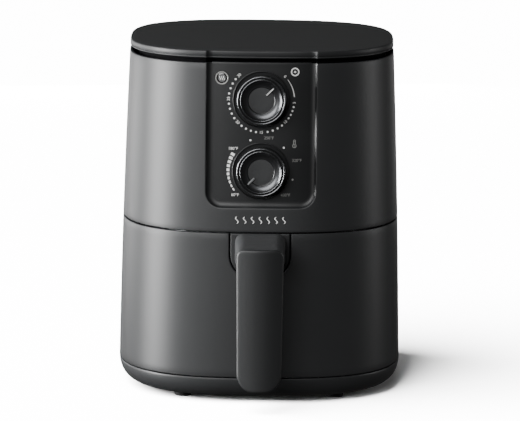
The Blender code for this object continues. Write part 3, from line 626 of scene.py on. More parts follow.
def softened(
    mesh: bpy.types.Mesh,
    width_mm: float,
    segments: int = 3,
    angle: float = 40,
    spared: Callable[[Vector], bool] = lambda point: False,
) -> bpy.types.Mesh:
    """Return a mesh with a small rounded bevel along its sharp edges.

    Args:
        mesh: The mesh.
        width_mm: How wide the bevel is.
        segments: How many faces go across it.
        angle: Least angle between two faces, in degrees, that makes an edge sharp.
        spared: Whether an edge's middle, in millimetres, is left as it is.

    Returns:
        The bevelled mesh.
    """
    shape = bmesh.new()
    shape.from_mesh(mesh)
    weight = shape.edges.layers.float.new("bevel_weight_edge")
    for edge in shape.edges:
        middle = (edge.verts[0].co + edge.verts[1].co) / (2 * MM)
        sharp = edge.is_manifold and edge.calc_face_angle(0.0) > math.radians(angle)
        edge[weight] = 1.0 if sharp and not spared(middle) else 0.0
    shape.to_mesh(mesh)
    shape.free()
    item = bench(mesh.name, mesh)
    modifier = item.modifiers.new("edge", "BEVEL")
    modifier.width = width_mm * MM
    modifier.segments = segments
    modifier.limit_method = "WEIGHT"
    modifier.use_clamp_overlap = False
    result = evaluated(item)
    result.shade_smooth()
    result.set_sharp_from_angle(angle=SHARP)
    return result


def thickened(mesh: bpy.types.Mesh, thickness_mm: float) -> bpy.types.Mesh:
    """Return a surface given a wall that grows inwards.

    Args:
        mesh: An open sheet.
        thickness_mm: Thickness of the wall.

    Returns:
        The closed mesh.
    """
    item = bench(mesh.name, mesh)
    modifier = item.modifiers.new("wall", "SOLIDIFY")
    modifier.thickness = thickness_mm * MM
    modifier.offset = -1.0
    return evaluated(item)


def joined(name: str, meshes: Iterable[bpy.types.Mesh]) -> bpy.types.Mesh:
    """Return one mesh that holds the others, each keeping its own finish.

    Args:
        name: Name of the new mesh.
        meshes: The meshes, each with its own materials.

    Returns:
        The new mesh.
    """
    shape = bmesh.new()
    materials: list[bpy.types.Material] = []
    for mesh in meshes:
        own = [item for item in mesh.materials if item is not None]
        for item in own:
            if item not in materials:
                materials.append(item)
        before = len(shape.faces)
        shape.from_mesh(mesh)
        shape.faces.ensure_lookup_table()
        for face in shape.faces[before:]:
            if own:
                face.material_index = materials.index(own[min(face.material_index, len(own) - 1)])
    result = bpy.data.meshes.new(name)
    shape.to_mesh(result)
    shape.free()
    for item in materials:
        result.materials.append(item)
    return result


def piece(
    name: str,
    mesh: bpy.types.Mesh,
    body: str,
    nodes: Sequence[str] = (),
    finish: Finish | None = None,
) -> bpy.types.Object:
    """Make a finished piece that moves with a CAD body.

    Args:
        name: Name of the piece.
        mesh: Its mesh in the row frame, in metres.
        body: The CAD body that it rides on.
        nodes: The CAD nodes that it stands for.
        finish: Its finish, where the mesh doesn't hold one already.

    Returns:
        The object.
    """
    mesh.name = name
    if finish:
        mesh.materials.clear()
        mesh.materials.append(finish.material())
    made = bench(name, mesh)
    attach(made, body)
    if nodes:
        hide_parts(*nodes)
    LOG.info("%s: %d faces on %s", name, len(mesh.polygons), body)
    return made


# ---------------------------------------------------------------------------------------
# Geometry Nodes
# ---------------------------------------------------------------------------------------

Inputs = Sequence[tuple[str, str, object]]
MATERIAL_INPUT = ("Material", "NodeSocketMaterial", None)


def new_tree(name: str, inputs: Inputs) -> tuple[bpy.types.NodeTree, dict, bpy.types.Node]:
    """Start a Geometry Nodes tree with named inputs.

    Args:
        name: Name of the tree.
        inputs: Name, socket type and default of each input after the geometry.

    Returns:
        The tree, its inputs' sockets by name, and its output node.
    """
    tree = bpy.data.node_groups.new(name, "GeometryNodeTree")
    tree.interface.new_socket("Geometry", in_out="INPUT", socket_type="NodeSocketGeometry")
    for label, kind, default in inputs:
        socket = tree.interface.new_socket(label, in_out="INPUT", socket_type=kind)
        if default is not None:
            socket.default_value = default
    tree.interface.new_socket("Geometry", in_out="OUTPUT", socket_type="NodeSocketGeometry")
    start = tree.nodes.new("NodeGroupInput")
    end = tree.nodes.new("NodeGroupOutput")
    return tree, {socket.name: socket for socket in start.outputs if socket.name}, end


def work_out(tree: bpy.types.NodeTree, values: dict, steps: Iterable[tuple]) -> dict:
    """Add the Math nodes of a formula, one named result a line.

    Args:
        tree: The tree that gets them.
        values: Named sockets and numbers so far, which grows.
        steps: Result name, operation, and one to three operands by name or number.

    Returns:
        The same values with the results added.
    """
    for name, operation, *operands in steps:
        feeds = {i: values[key] if isinstance(key, str) else key for i, key in enumerate(operands)}
        values[name] = add_node(tree, "ShaderNodeMath", feeds, operation=operation).outputs[0]
    return values


def finish_tree(
    tree: bpy.types.NodeTree, values: dict, end: bpy.types.Node, made: bpy.types.NodeSocket
) -> bpy.types.NodeTree:
    """End a tree in Realize Instances and Set Material.

    Args:
        tree: The tree.
        values: Its named sockets, with Material among them.
        end: Its output node.
        made: The socket that gives the geometry.

    Returns:
        The same tree.
    """
    real = add_node(tree, "GeometryNodeRealizeInstances", {0: made})
    dressed = add_node(
        tree, "GeometryNodeSetMaterial", {0: real.outputs[0], "Material": values["Material"]}
    )
    tree.links.new(dressed.outputs[0], end.inputs[0])
    return tree


def moved_to(
    tree: bpy.types.NodeTree, geometry: bpy.types.NodeSocket, x: object, y: object, z: object
) -> bpy.types.NodeSocket:
    """Add the nodes that move each point of a geometry to worked out coordinates.

    Args:
        tree: The tree that gets them.
        geometry: The socket that gives the points.
        x: Socket or number for X.
        y: Socket or number for Y.
        z: Socket or number for Z.

    Returns:
        The socket of the moved geometry.
    """
    target = add_node(tree, "ShaderNodeCombineXYZ", {0: x, 1: y, 2: z})
    feeds = {0: geometry, "Position": target.outputs[0]}
    return add_node(tree, "GeometryNodeSetPosition", feeds).outputs[0]


def turned_copies(
    tree: bpy.types.NodeTree, points: bpy.types.NodeSocket, shape: bpy.types.NodeSocket
) -> bpy.types.NodeSocket:
    """Add the nodes that set a shape on points, turned about Z by their attribute "turn".

    Args:
        tree: The tree that gets them.
        points: The socket that gives the points.
        shape: The socket that gives the shape's object.

    Returns:
        The socket of the copies.
    """
    source = add_node(tree, "GeometryNodeObjectInfo", {"Object": shape})
    named = add_node(
        tree, "GeometryNodeInputNamedAttribute", {"Name": "turn"}, data_type="FLOAT"
    )
    turn = add_node(tree, "ShaderNodeCombineXYZ", {2: named.outputs[0]})
    feeds = {
        "Points": points,
        "Instance": source.outputs["Geometry"],
        "Rotation": turn.outputs[0],
    }
    return add_node(tree, "GeometryNodeInstanceOnPoints", feeds).outputs[0]


def run_tree(mesh: bpy.types.Mesh, tree: bpy.types.NodeTree, **values: object) -> bpy.types.Mesh:
    """Run a tree on a mesh and return the plain mesh that comes out.

    Args:
        mesh: What goes in.
        tree: The Geometry Nodes tree.
        **values: Value of each named input, with underscores for the spaces in its name.

    Returns:
        The finished mesh.
    """
    item = bench(mesh.name, mesh)
    modifier = item.modifiers.new(tree.name, "NODES")
    modifier.node_group = tree
    by_name = {s.name: s.identifier for s in tree.interface.items_tree if s.in_out == "INPUT"}
    for key, value in values.items():
        modifier[by_name[key.replace("_", " ")]] = value
    result = evaluated(item)
    result.shade_smooth()
    result.set_sharp_from_angle(angle=SHARP)
    return result


PLAN_INPUTS: Inputs = (
    ("Centre Y", "NodeSocketFloat", 0.0),
    ("Half Width", "NodeSocketFloat", 0.1),
    ("Taper", "NodeSocketFloat", 0.0),
    ("Growth", "NodeSocketFloat", 0.0),
    ("Base Z", "NodeSocketFloat", 0.0),
    ("Depth Ratio", "NodeSocketFloat", 1.0),
    ("Power", "NodeSocketFloat", 2.0),
)

# From a height and an inset to the half width and half depth of the casing's level curve
PLAN_STEPS = (
    ("rise", "SUBTRACT", "height", "Base Z"),
    ("straight", "MULTIPLY", "rise", "Taper"),
    ("squared", "MULTIPLY", "rise", "rise"),
    ("bowed", "MULTIPLY", "squared", "Growth"),
    ("narrower", "ADD", "straight", "bowed"),
    ("half", "SUBTRACT", "Half Width", "narrower"),
    ("wide", "SUBTRACT", "half", "inset"),
    ("half deep", "MULTIPLY", "half", "Depth Ratio"),
    ("deep", "SUBTRACT", "half deep", "inset"),
    ("root", "DIVIDE", 1.0, "Power"),
)


@functools.cache
def plan_sweep() -> bpy.types.NodeTree:
    """Return the tree that sweeps a profile of (inset, height) round the casing's plan.

    Returns:
        The tree.
    """
    extra: Inputs = (
        ("Steps", "NodeSocketInt", 180),
        ("Recess", "NodeSocketFloat", 0.0),
        ("Recess Half Width", "NodeSocketFloat", 0.04),
        ("Recess Slope", "NodeSocketFloat", 0.004),
    )
    tree, values, end = new_tree("plan_sweep", (*PLAN_INPUTS, *extra, MATERIAL_INPUT))
    size = add_node(tree, "GeometryNodeAttributeDomainSize", {0: values["Geometry"]})
    values["rows"] = size.outputs[0]
    values["index"] = add_node(tree, "GeometryNodeInputIndex").outputs[0]
    work_out(
        tree,
        values,
        (
            ("row", "MODULO", "index", "rows"),
            ("part turn", "DIVIDE", "index", "rows"),
            ("column", "FLOOR", "part turn"),
            ("columns", "ADD", "Steps", 1),
            ("share", "DIVIDE", "column", "Steps"),
            ("angle", "MULTIPLY", "share", math.tau),
            ("cosine", "COSINE", "angle"),
            ("sine", "SINE", "angle"),
        ),
    )
    place = add_node(tree, "GeometryNodeInputPosition").outputs[0]
    feeds = {"Geometry": values["Geometry"], "Value": place, "Index": values["row"]}
    sample = add_node(tree, "GeometryNodeSampleIndex", data_type="FLOAT_VECTOR")
    for key, feed in feeds.items():
        socket = next(s for s in sample.inputs if s.name == key and s.enabled)
        tree.links.new(feed, socket)
    found = next(s for s in sample.outputs if s.enabled)
    parts = add_node(tree, "ShaderNodeSeparateXYZ", {0: found})
    values["inset"], values["height"] = parts.outputs[0], parts.outputs[2]
    work_out(tree, values, PLAN_STEPS)
    work_out(
        tree,
        values,
        (
            ("across", "DIVIDE", "cosine", "wide"),
            ("across size", "ABSOLUTE", "across"),
            ("across power", "POWER", "across size", "Power"),
            ("along", "DIVIDE", "sine", "deep"),
            ("along size", "ABSOLUTE", "along"),
            ("along power", "POWER", "along size", "Power"),
            ("sum", "ADD", "across power", "along power"),
            ("reach", "POWER", "sum", "root"),
            ("x", "DIVIDE", "cosine", "reach"),
            ("y", "DIVIDE", "sine", "reach"),
            ("x size", "ABSOLUTE", "x"),
            ("slope start", "SUBTRACT", "Recess Half Width", "Recess Slope"),
            ("front", "LESS_THAN", "sine", 0.0),
        ),
    )
    ramp = add_node(
        tree,
        "ShaderNodeMapRange",
        {
            "Value": values["x size"],
            "From Min": values["slope start"],
            "From Max": values["Recess Half Width"],
            "To Min": 0.0,
            "To Max": 1.0,
        },
    )
    values["climb"] = ramp.outputs[0]
    work_out(
        tree,
        values,
        (
            ("climb squared", "MULTIPLY", "climb", "climb"),
            ("sunk", "SUBTRACT", 1.0, "climb squared"),
            ("ramp", "POWER", "sunk", RECESS_CURVE),
            ("front ramp", "MULTIPLY", "ramp", "front"),
            ("push", "MULTIPLY", "front ramp", "Recess"),
            ("pushed", "ADD", "y", "push"),
            ("world y", "ADD", "pushed", "Centre Y"),
        ),
    )
    counts = {"Vertices X": values["columns"], "Vertices Y": values["rows"]}
    grid = add_node(tree, "GeometryNodeMeshGrid", counts)
    place = (values["x"], values["world y"], values["height"])
    moved = moved_to(tree, grid.outputs[0], *place)
    welded = add_node(tree, "GeometryNodeMergeByDistance", {0: moved, "Distance": WELD})
    return finish_tree(tree, values, end, welded.outputs[0])


@functools.cache
def drape() -> bpy.types.NodeTree:
    """Return the tree that lays flat work, drawn on an upright plane, onto the casing's front.

    Returns:
        The tree.
    """
    inset = ("Inset", "NodeSocketFloat", 0.0)
    tree, values, end = new_tree("drape", (*PLAN_INPUTS, inset, MATERIAL_INPUT))
    place = add_node(tree, "GeometryNodeInputPosition").outputs[0]
    parts = add_node(tree, "ShaderNodeSeparateXYZ", {0: place})
    values["x"], values["stand"], values["height"] = parts.outputs
    values["inset"] = values["Inset"]
    work_out(tree, values, PLAN_STEPS)
    work_out(
        tree,
        values,
        (
            ("share", "DIVIDE", "x", "wide"),
            ("size", "ABSOLUTE", "share"),
            ("raised", "POWER", "size", "Power"),
            ("left", "SUBTRACT", 1.0, "raised"),
            ("reach", "POWER", "left", "root"),
            ("depth", "MULTIPLY", "reach", "deep"),
            ("surface", "SUBTRACT", "Centre Y", "depth"),
            ("y", "ADD", "surface", "stand"),
        ),
    )
    place = (values["x"], values["y"], values["height"])
    return finish_tree(tree, values, end, moved_to(tree, values["Geometry"], *place))


@functools.cache
def arc_marks() -> bpy.types.NodeTree:
    """Return the tree that sets marks along an arc of a dial's scale, each wider than the last.

    Returns:
        The tree.
    """
    inputs: Inputs = (
        ("Count", "NodeSocketInt", 4),
        ("Centre Z", "NodeSocketFloat", 0.0),
        ("Radius", "NodeSocketFloat", 0.02),
        ("First Angle", "NodeSocketFloat", 0.0),
        ("Step Angle", "NodeSocketFloat", 0.1),
        ("Along", "NodeSocketFloat", 0.001),
        ("First Width", "NodeSocketFloat", 0.001),
        ("Last Width", "NodeSocketFloat", 0.001),
        ("Round", "NodeSocketBool", True),
        ("Thickness", "NodeSocketFloat", 0.0001),
        MATERIAL_INPUT,
    )
    tree, values, end = new_tree("arc_marks", inputs)
    values["index"] = add_node(tree, "GeometryNodeInputIndex").outputs[0]
    work_out(
        tree,
        values,
        (
            ("swing", "MULTIPLY", "index", "Step Angle"),
            ("angle", "ADD", "swing", "First Angle"),
            ("sine", "SINE", "angle"),
            ("cosine", "COSINE", "angle"),
            ("x", "MULTIPLY", "sine", "Radius"),
            ("rise", "MULTIPLY", "cosine", "Radius"),
            ("z", "ADD", "rise", "Centre Z"),
            ("gaps", "SUBTRACT", "Count", 1),
            ("some gaps", "MAXIMUM", "gaps", 1),
            ("share", "DIVIDE", "index", "some gaps"),
            ("spread", "SUBTRACT", "Last Width", "First Width"),
            ("grown", "MULTIPLY", "spread", "share"),
            ("width", "ADD", "grown", "First Width"),
        ),
    )
    line = add_node(tree, "GeometryNodeMeshLine", {"Count": values["Count"]})
    spots = moved_to(tree, line.outputs[0], values["x"], 0.0, values["z"])
    block = add_node(tree, "GeometryNodeMeshCube", {"Size": (1.0, 1.0, 1.0)})
    disc = add_node(tree, "GeometryNodeMeshCylinder", {"Vertices": 16, "Radius": 0.5, "Depth": 1.0})
    upright = add_node(
        tree, "GeometryNodeTransform", {0: disc.outputs[0], "Rotation": (math.pi / 2, 0, 0)}
    )
    mark = add_node(
        tree,
        "GeometryNodeSwitch",
        {"Switch": values["Round"], "False": block.outputs[0], "True": upright.outputs[0]},
        input_type="GEOMETRY",
    )
    turn = add_node(tree, "ShaderNodeCombineXYZ", {1: values["angle"]})
    size = add_node(
        tree,
        "ShaderNodeCombineXYZ",
        {0: values["Along"], 1: values["Thickness"], 2: values["width"]},
    )
    copies = add_node(
        tree,
        "GeometryNodeInstanceOnPoints",
        {
            "Points": spots,
            "Instance": mark.outputs[0],
            "Rotation": turn.outputs[0],
            "Scale": size.outputs[0],
        },
    )
    return finish_tree(tree, values, end, copies.outputs[0])


@functools.cache
def copies_on_points() -> bpy.types.NodeTree:
    """Return the tree that sets a copy of one shape on each point, upright and turned about Z.

    Its geometry is the points; each point's attribute "turn" is that copy's angle.

    Returns:
        The tree.
    """
    inputs: Inputs = (("Shape", "NodeSocketObject", None), MATERIAL_INPUT)
    tree, values, end = new_tree("copies_on_points", inputs)
    return finish_tree(
        tree, values, end, turned_copies(tree, values["Geometry"], values["Shape"])
    )


@functools.cache
def tube_along() -> bpy.types.NodeTree:
    """Return the tree that bends a round tube or wire along each line of its geometry.

    Returns:
        The tree.
    """
    inputs: Inputs = (
        ("Radius", "NodeSocketFloat", 0.001),
        ("Sides", "NodeSocketInt", 12),
        MATERIAL_INPUT,
    )
    tree, values, end = new_tree("tube_along", inputs)
    line = add_node(tree, "GeometryNodeMeshToCurve", {0: values["Geometry"]})
    section = add_node(
        tree,
        "GeometryNodeCurvePrimitiveCircle",
        {"Resolution": values["Sides"], "Radius": values["Radius"]},
    )
    tube = add_node(
        tree,
        "GeometryNodeCurveToMesh",
        {"Curve": line.outputs[0], "Profile Curve": section.outputs[0], "Fill Caps": True},
    )
    return finish_tree(tree, values, end, tube.outputs[0])


@functools.cache
def perforate() -> bpy.types.NodeTree:
    """Return the tree that cuts a copy of one tool shape out of a plate at each point.

    Returns:
        The tree.
    """
    inputs: Inputs = (
        ("Points", "NodeSocketObject", None),
        ("Tool", "NodeSocketObject", None),
        MATERIAL_INPUT,
    )
    tree, values, end = new_tree("perforate", inputs)
    points = add_node(tree, "GeometryNodeObjectInfo", {"Object": values["Points"]})
    copies = turned_copies(tree, points.outputs["Geometry"], values["Tool"])
    real = add_node(tree, "GeometryNodeRealizeInstances", {0: copies})
    cut = add_node(
        tree,
        "GeometryNodeMeshBoolean",
        {"Mesh 1": values["Geometry"], "Mesh 2": real.outputs[0]},
        operation="DIFFERENCE",
    )
    return finish_tree(tree, values, end, cut.outputs[0])


def points_mesh(name: str, spots: Iterable[tuple[float, float, float, float]]) -> bpy.types.Mesh:
    """Return a mesh of loose points, each with its turn about Z.

    Args:
        name: Name of the mesh.
        spots: X, Y and Z in millimetres and the turn in radians.

    Returns:
        The points, with their turns in the attribute "turn".
    """
    rows = list(spots)
    mesh = bpy.data.meshes.new(name)
    mesh.from_pydata([Vector(row[:3]) * MM for row in rows], [], [])
    turns = mesh.attributes.new("turn", "FLOAT", "POINT")
    turns.data.foreach_set("value", [row[3] for row in rows])
    return mesh


def line_mesh(name: str, lines: Iterable[Sequence], loops: bool = False) -> bpy.types.Mesh:
    """Return a mesh of open lines or closed loops through points in millimetres.

    Args:
        name: Name of the mesh.
        lines: Points of each line, in millimetres.
        loops: Whether each line closes on itself.

    Returns:
        The mesh, of edges alone.
    """
    points: list[Vector] = []
    edges: list[tuple[int, int]] = []
    for line in lines:
        first = len(points)
        points.extend(Vector(point) * MM for point in line)
        edges.extend((i, i + 1) for i in range(first, len(points) - 1))
        if loops:
            edges.append((len(points) - 1, first))
    mesh = bpy.data.meshes.new(name)
    mesh.from_pydata(points, edges, [])
    return mesh


def copied(
    shape: bpy.types.Mesh, spots: Iterable[tuple], finish: Finish, name: str
) -> bpy.types.Mesh:
    """Return copies of a shape set on points by Geometry Nodes.

    Args:
        shape: The mesh that is repeated.
        spots: X, Y, Z and turn of each copy.
        finish: Finish of all the copies.
        name: Name of the mesh.

    Returns:
        The copies, as one mesh.
    """
    tool = bench(f"{name}_shape", shape)
    made = run_tree(
        points_mesh(name, spots), copies_on_points(), Shape=tool, Material=finish.material()
    )
    bpy.data.objects.remove(tool)
    return made


# ---------------------------------------------------------------------------------------
# The casing's shape
# ---------------------------------------------------------------------------------------


@dataclass(frozen=True)
class Plan:
    """Level curves of a body: superellipses about one upright line, narrowing with height."""

    centre_y: float
    half_width: float
    depth_ratio: float
    power: float
    base_z: float = 0.0
    taper: float = 0.0
    growth: float = 0.0

    def half(self, z: float) -> float:
        """Return the half width at a height."""
        rise = z - self.base_z
        return self.half_width - self.taper * rise - self.growth * rise * rise

    def depth_at(self, x: float, z: float, inset: float = 0.0) -> float:
        """Return the half depth at a distance from the centre line.

        Args:
            x: X, in millimetres.
            z: Height, in millimetres.
            inset: Distance in from the outer surface.

        Returns:
            The half depth.
        """
        wide = self.half(z) - inset
        deep = self.half(z) * self.depth_ratio - inset
        return deep * (1 - min(abs(x) / wide, 1.0) ** self.power) ** (1 / self.power)

    def width_at(self, y: float, z: float) -> float:
        """Return the half width at a distance in front of or behind the middle.

        Args:
            y: Distance in front of or behind the middle.
            z: Height, in millimetres.

        Returns:
            The half width.
        """
        wide = self.half(z)
        deep = wide * self.depth_ratio
        return wide * (1 - min(abs(y) / deep, 1.0) ** self.power) ** (1 / self.power)

    def front(self, x: float, z: float, inset: float = 0.0) -> Vector:
        """Return a point of the front surface, moved in by an inset."""
        return Vector((x, self.centre_y - self.depth_at(x, z, inset), z))

    def around(self, angle: float, z: float) -> Vector:
        """Return a point of the outer surface in a direction from the middle.

        Args:
            angle: Direction in plan from the middle, in radians.
            z: Height, in millimetres.

        Returns:
            The point, in millimetres.
        """
        wide = self.half(z)
        deep = wide * self.depth_ratio
        across = abs(math.cos(angle) / wide) ** self.power
        along = abs(math.sin(angle) / deep) ** self.power
        reach = (across + along) ** (-1 / self.power)
        return Vector((reach * math.cos(angle), self.centre_y + reach * math.sin(angle), z))

    def tree_values(self) -> dict[str, float]:
        """Return the named inputs that give this shape to a tree.

        Returns:
            The values, by input name.
        """
        return {
            "Centre_Y": self.centre_y * MM,
            "Half_Width": self.half_width * MM,
            "Taper": self.taper,
            "Growth": self.growth / MM,
            "Base_Z": self.base_z * MM,
            "Depth_Ratio": self.depth_ratio,
            "Power": self.power,
        }

    def swept(
        self, name: str, profile: Sequence[Pair], finish: Finish, steps: int = 240, **extra: float
    ) -> bpy.types.Mesh:
        """Sweep a profile of (inset, height) round the plan, and fill what stays open.

        Args:
            name: Name of the mesh.
            profile: Points of (inset, height), with the outside to the left of the way.
            finish: What it is made of.
            steps: How many steps make a full turn.
            **extra: Other named inputs of the tree.

        Returns:
            The closed mesh.
        """
        line = line_mesh(name, [[(inset, 0, z) for inset, z in profile]])
        values = {**self.tree_values(), **extra}
        mesh = run_tree(line, plan_sweep(), Steps=steps, Material=finish.material(), **values)
        shape = bmesh.new()
        shape.from_mesh(mesh)
        edges = [edge for edge in shape.edges if edge.is_boundary]
        bmesh.ops.holes_fill(shape, edges=edges, sides=0)
        bmesh.ops.recalc_face_normals(shape, faces=shape.faces)
        shape.to_mesh(mesh)
        shape.free()
        mesh.shade_smooth()
        mesh.set_sharp_from_angle(angle=SHARP)
        return mesh

    def draped(self, mesh: bpy.types.Mesh, inset: float, finish: Finish) -> bpy.types.Mesh:
        """Lay flat work onto the front surface, moved in by an inset.

        Args:
            mesh: The flat work.
            inset: Distance in from the outer surface.
            finish: Finish of the result.

        Returns:
            The work, laid onto the surface.
        """
        return run_tree(
            mesh, drape(), Inset=inset * MM, Material=finish.material(), **self.tree_values()
        )


def measured(node: str) -> tuple[Vector, Vector]:
    """Return a CAD node's lowest and highest corner in millimetres."""
    low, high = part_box(node)
    return low / MM, high / MM


def casing_plan() -> Plan:
    """Return the casing's plan, from the frame and the casing's own narrowing.

    Returns:
        The plan.
    """
    low, high = measured("base_pan")
    half = (high.x - low.x) / 2
    depth = (high.y - low.y) / 2
    return Plan(
        centre_y=(low.y + high.y) / 2,
        half_width=half,
        depth_ratio=depth / half,
        power=2.75,
        base_z=20.0,
        taper=0.01546,
        growth=6.01e-5,
    )


@dataclass(frozen=True)
class Notch:
    """A U-shaped opening in the front, open at the top, and the shape of its edge."""

    half_width: float
    bottom: float
    corner: float
    edge: tuple[Pair, ...]


@dataclass
class NotchedShell:
    """A casing wall with a notch: square rows and columns, bent round the notch's corners."""

    plan: Plan
    notch: Notch
    side_x: float
    foot_z: float
    top: float
    bottom: float
    stops: tuple[tuple[str, float, int, str], ...]
    marks_z: tuple[float, ...] = ()
    corner_steps: int = 8
    flat_steps: int = 10
    blend_steps: int = 7
    row_step: float = 6.0
    skip: Callable[[str, float], bool] = field(default=lambda label, z: False)

    def beside_notch(self, point: Vector) -> bool:
        """Return whether a point lies in the notch or on its rounded edge.

        Args:
            point: The point, in millimetres.

        Returns:
            True where it does.
        """
        reach = self.notch.half_width + self.notch.edge[1][0] + 0.05
        low = self.notch.bottom - self.notch.edge[1][0] - 0.05
        return abs(point.x) < reach and point.z > low and point.y < self.plan.centre_y

    def leg_rows(self) -> list[float]:
        """Return the heights of the straight part of the notch, from the top down.

        Returns:
            The heights.
        """
        turn = self.notch.bottom + self.notch.corner
        inside = sorted((z for z in self.marks_z if turn < z < self.top), reverse=True)
        return self.divided([self.top, *inside, turn])

    def divided(self, stations: Sequence[float]) -> list[float]:
        """Return stations with even steps put between them.

        Args:
            stations: Heights, from the top down.

        Returns:
            The stations and the steps between them.
        """
        rows = [stations[0]]
        for high, low in zip(stations, stations[1:]):
            count = max(1, round(abs(high - low) / self.row_step))
            rows.extend(high + (low - high) * (i + 1) / count for i in range(count))
        return rows

    def rows(self) -> list[float]:
        """Return every row's height, from the top down.

        Returns:
            The heights.
        """
        turn = self.notch.bottom + self.notch.corner
        rows = self.leg_rows()
        for i in range(1, self.corner_steps + 1):
            rows.append(turn + (self.foot_z - turn) * i / self.corner_steps)
        if self.bottom < self.foot_z - 0.01:
            rows.extend(self.divided([self.foot_z, self.bottom])[1:])
        return rows

    def front_columns(self) -> list[float]:
        """Return the X of every column of the front, from left to right.

        Returns:
            The X of each column.
        """
        inner = self.notch.half_width - self.notch.corner
        m, p = self.corner_steps, self.flat_steps
        left = [-self.side_x + (self.side_x - inner) * i / m for i in range(m)]
        middle = [-inner + 2 * inner * i / p for i in range(p + 1)]
        return left + middle + [-x for x in reversed(left)]

    def direction(self, kind: str, value: float, z: float) -> float:
        """Return the direction in plan of a stop: front or rear at an X, or a side at a Y.

        Args:
            kind: Front, rear or a side.
            value: X of a stop on the front or rear, or Y on a side.
            z: Height, in millimetres.

        Returns:
            The angle, in radians.
        """
        if kind == "front":
            angle = math.atan2(-self.plan.depth_at(value, z), value)
            return angle if value > 0 else angle + math.tau
        if kind == "rear":
            return math.atan2(self.plan.depth_at(value, z), value)
        across = self.plan.width_at(value, z)
        if kind == "right":
            return math.atan2(value, across)
        return math.pi - math.atan2(value, across)

    def path(self, offset: float) -> list[Pair]:
        """Return the notch's outline moved outwards by an offset, from the top left round.

        Args:
            offset: How far the outline is moved outwards.

        Returns:
            The points, as X and Z.
        """
        inner = self.notch.half_width - self.notch.corner
        turn = self.notch.bottom + self.notch.corner
        radius = self.notch.corner + offset
        half = self.notch.half_width + offset
        points = [(-half, z) for z in self.leg_rows()]
        quarter = 2 * self.corner_steps
        for i in range(1, quarter + 1):
            angle = math.pi + math.pi / 2 * i / quarter
            points.append((-inner + radius * math.cos(angle), turn + radius * math.sin(angle)))
        for i in range(1, self.flat_steps):
            points.append((-inner + 2 * inner * i / self.flat_steps, self.notch.bottom - offset))
        return points + [(-x, z) for x, z in reversed(points[: len(self.leg_rows()) + quarter])]

    def build(self, name: str) -> bpy.types.Mesh:
        """Build the wall's outer surface.

        Args:
            name: Name of the mesh.

        Returns:
            The open surface, facing outwards.
        """
        shape = bmesh.new()
        rows, fronts = self.rows(), self.front_columns()
        columns: list[Callable[[float], Vector]] = []
        labels: list[str] = []
        for x in fronts:
            columns.append(lambda z, x=x: self.plan.front(x, z))
            labels.append("front")
        labels[-1] = ""
        previous = ("front", self.side_x)
        for kind, value, steps, label in self.stops:
            for i in range(1, steps + 1):
                share = i / steps

                def place(
                    z: float, a: tuple = previous, b: tuple = (kind, value), share: float = share
                ) -> Vector:
                    """Return the column's point at a height."""
                    start, end = self.direction(*a, z), self.direction(*b, z)
                    return self.plan.around(start + (end - start) * share, z)

                columns.append(place)
                labels[-1] = label
                labels.append("")
            previous = (kind, value)
        closed = previous == ("front", -self.side_x)
        if closed:
            columns.pop()
            labels.pop()
        made: dict[tuple[int, int], bmesh.types.BMVert] = {}

        def corner(row: int, column: int) -> bmesh.types.BMVert:
            """Return the vertex where a row meets a column, made once.

            Args:
                row: Number of the row.
                column: Number of the column.

            Returns:
                The vertex.
            """
            key = (row, column % len(columns))
            if key not in made:
                made[key] = shape.verts.new(columns[key[1]](rows[row]))
            return made[key]

        notch_rows = len(self.leg_rows()) - 1 + self.corner_steps
        for i in range(len(rows) - 1):
            middle = (rows[i] + rows[i + 1]) / 2
            for j in range(len(columns) if closed else len(columns) - 1):
                label = labels[j]
                if (label == "front" and i < notch_rows) or self.skip(label, middle):
                    continue
                shape.faces.new(
                    (corner(i, j), corner(i + 1, j), corner(i + 1, j + 1), corner(i, j + 1))
                )
        last = len(fronts) - 1
        outer = [corner(i, 0) for i in range(notch_rows + 1)]
        outer += [corner(notch_rows, j) for j in range(1, last)]
        outer += [corner(i, last) for i in range(notch_rows, -1, -1)]
        self.blend_to_notch(shape, outer)
        return to_mesh(name, shape, recalculate=False)

    def blend_to_notch(self, shape: bmesh.types.BMesh, outer: list) -> None:
        """Join the square outer path to the notch's rounded one, then run over its edge.

        Args:
            shape: The shape that gets the faces.
            outer: Vertices of the square outer path.
        """
        target = [(vert.co.x, vert.co.z) for vert in outer]
        start = self.path(self.notch.edge[0][0])
        rings = []
        for step in range(self.blend_steps - 1, 0, -1):
            share = step / self.blend_steps
            row = []
            for (x, z), (far_x, far_z) in zip(start, target):
                row.append(self.plan.front(x + (far_x - x) * share, z + (far_z - z) * share))
            rings.append(row)
        for offset, depth in self.notch.edge:
            rings.append([self.plan.front(x, z, depth) for x, z in self.path(offset)])
        before = outer
        for ring in rings:
            current = [shape.verts.new(point) for point in ring]
            for i in range(len(ring) - 1):
                shape.faces.new((before[i], before[i + 1], current[i + 1], current[i]))
            before = current


# ---------------------------------------------------------------------------------------
# Sub-assemblies
# ---------------------------------------------------------------------------------------


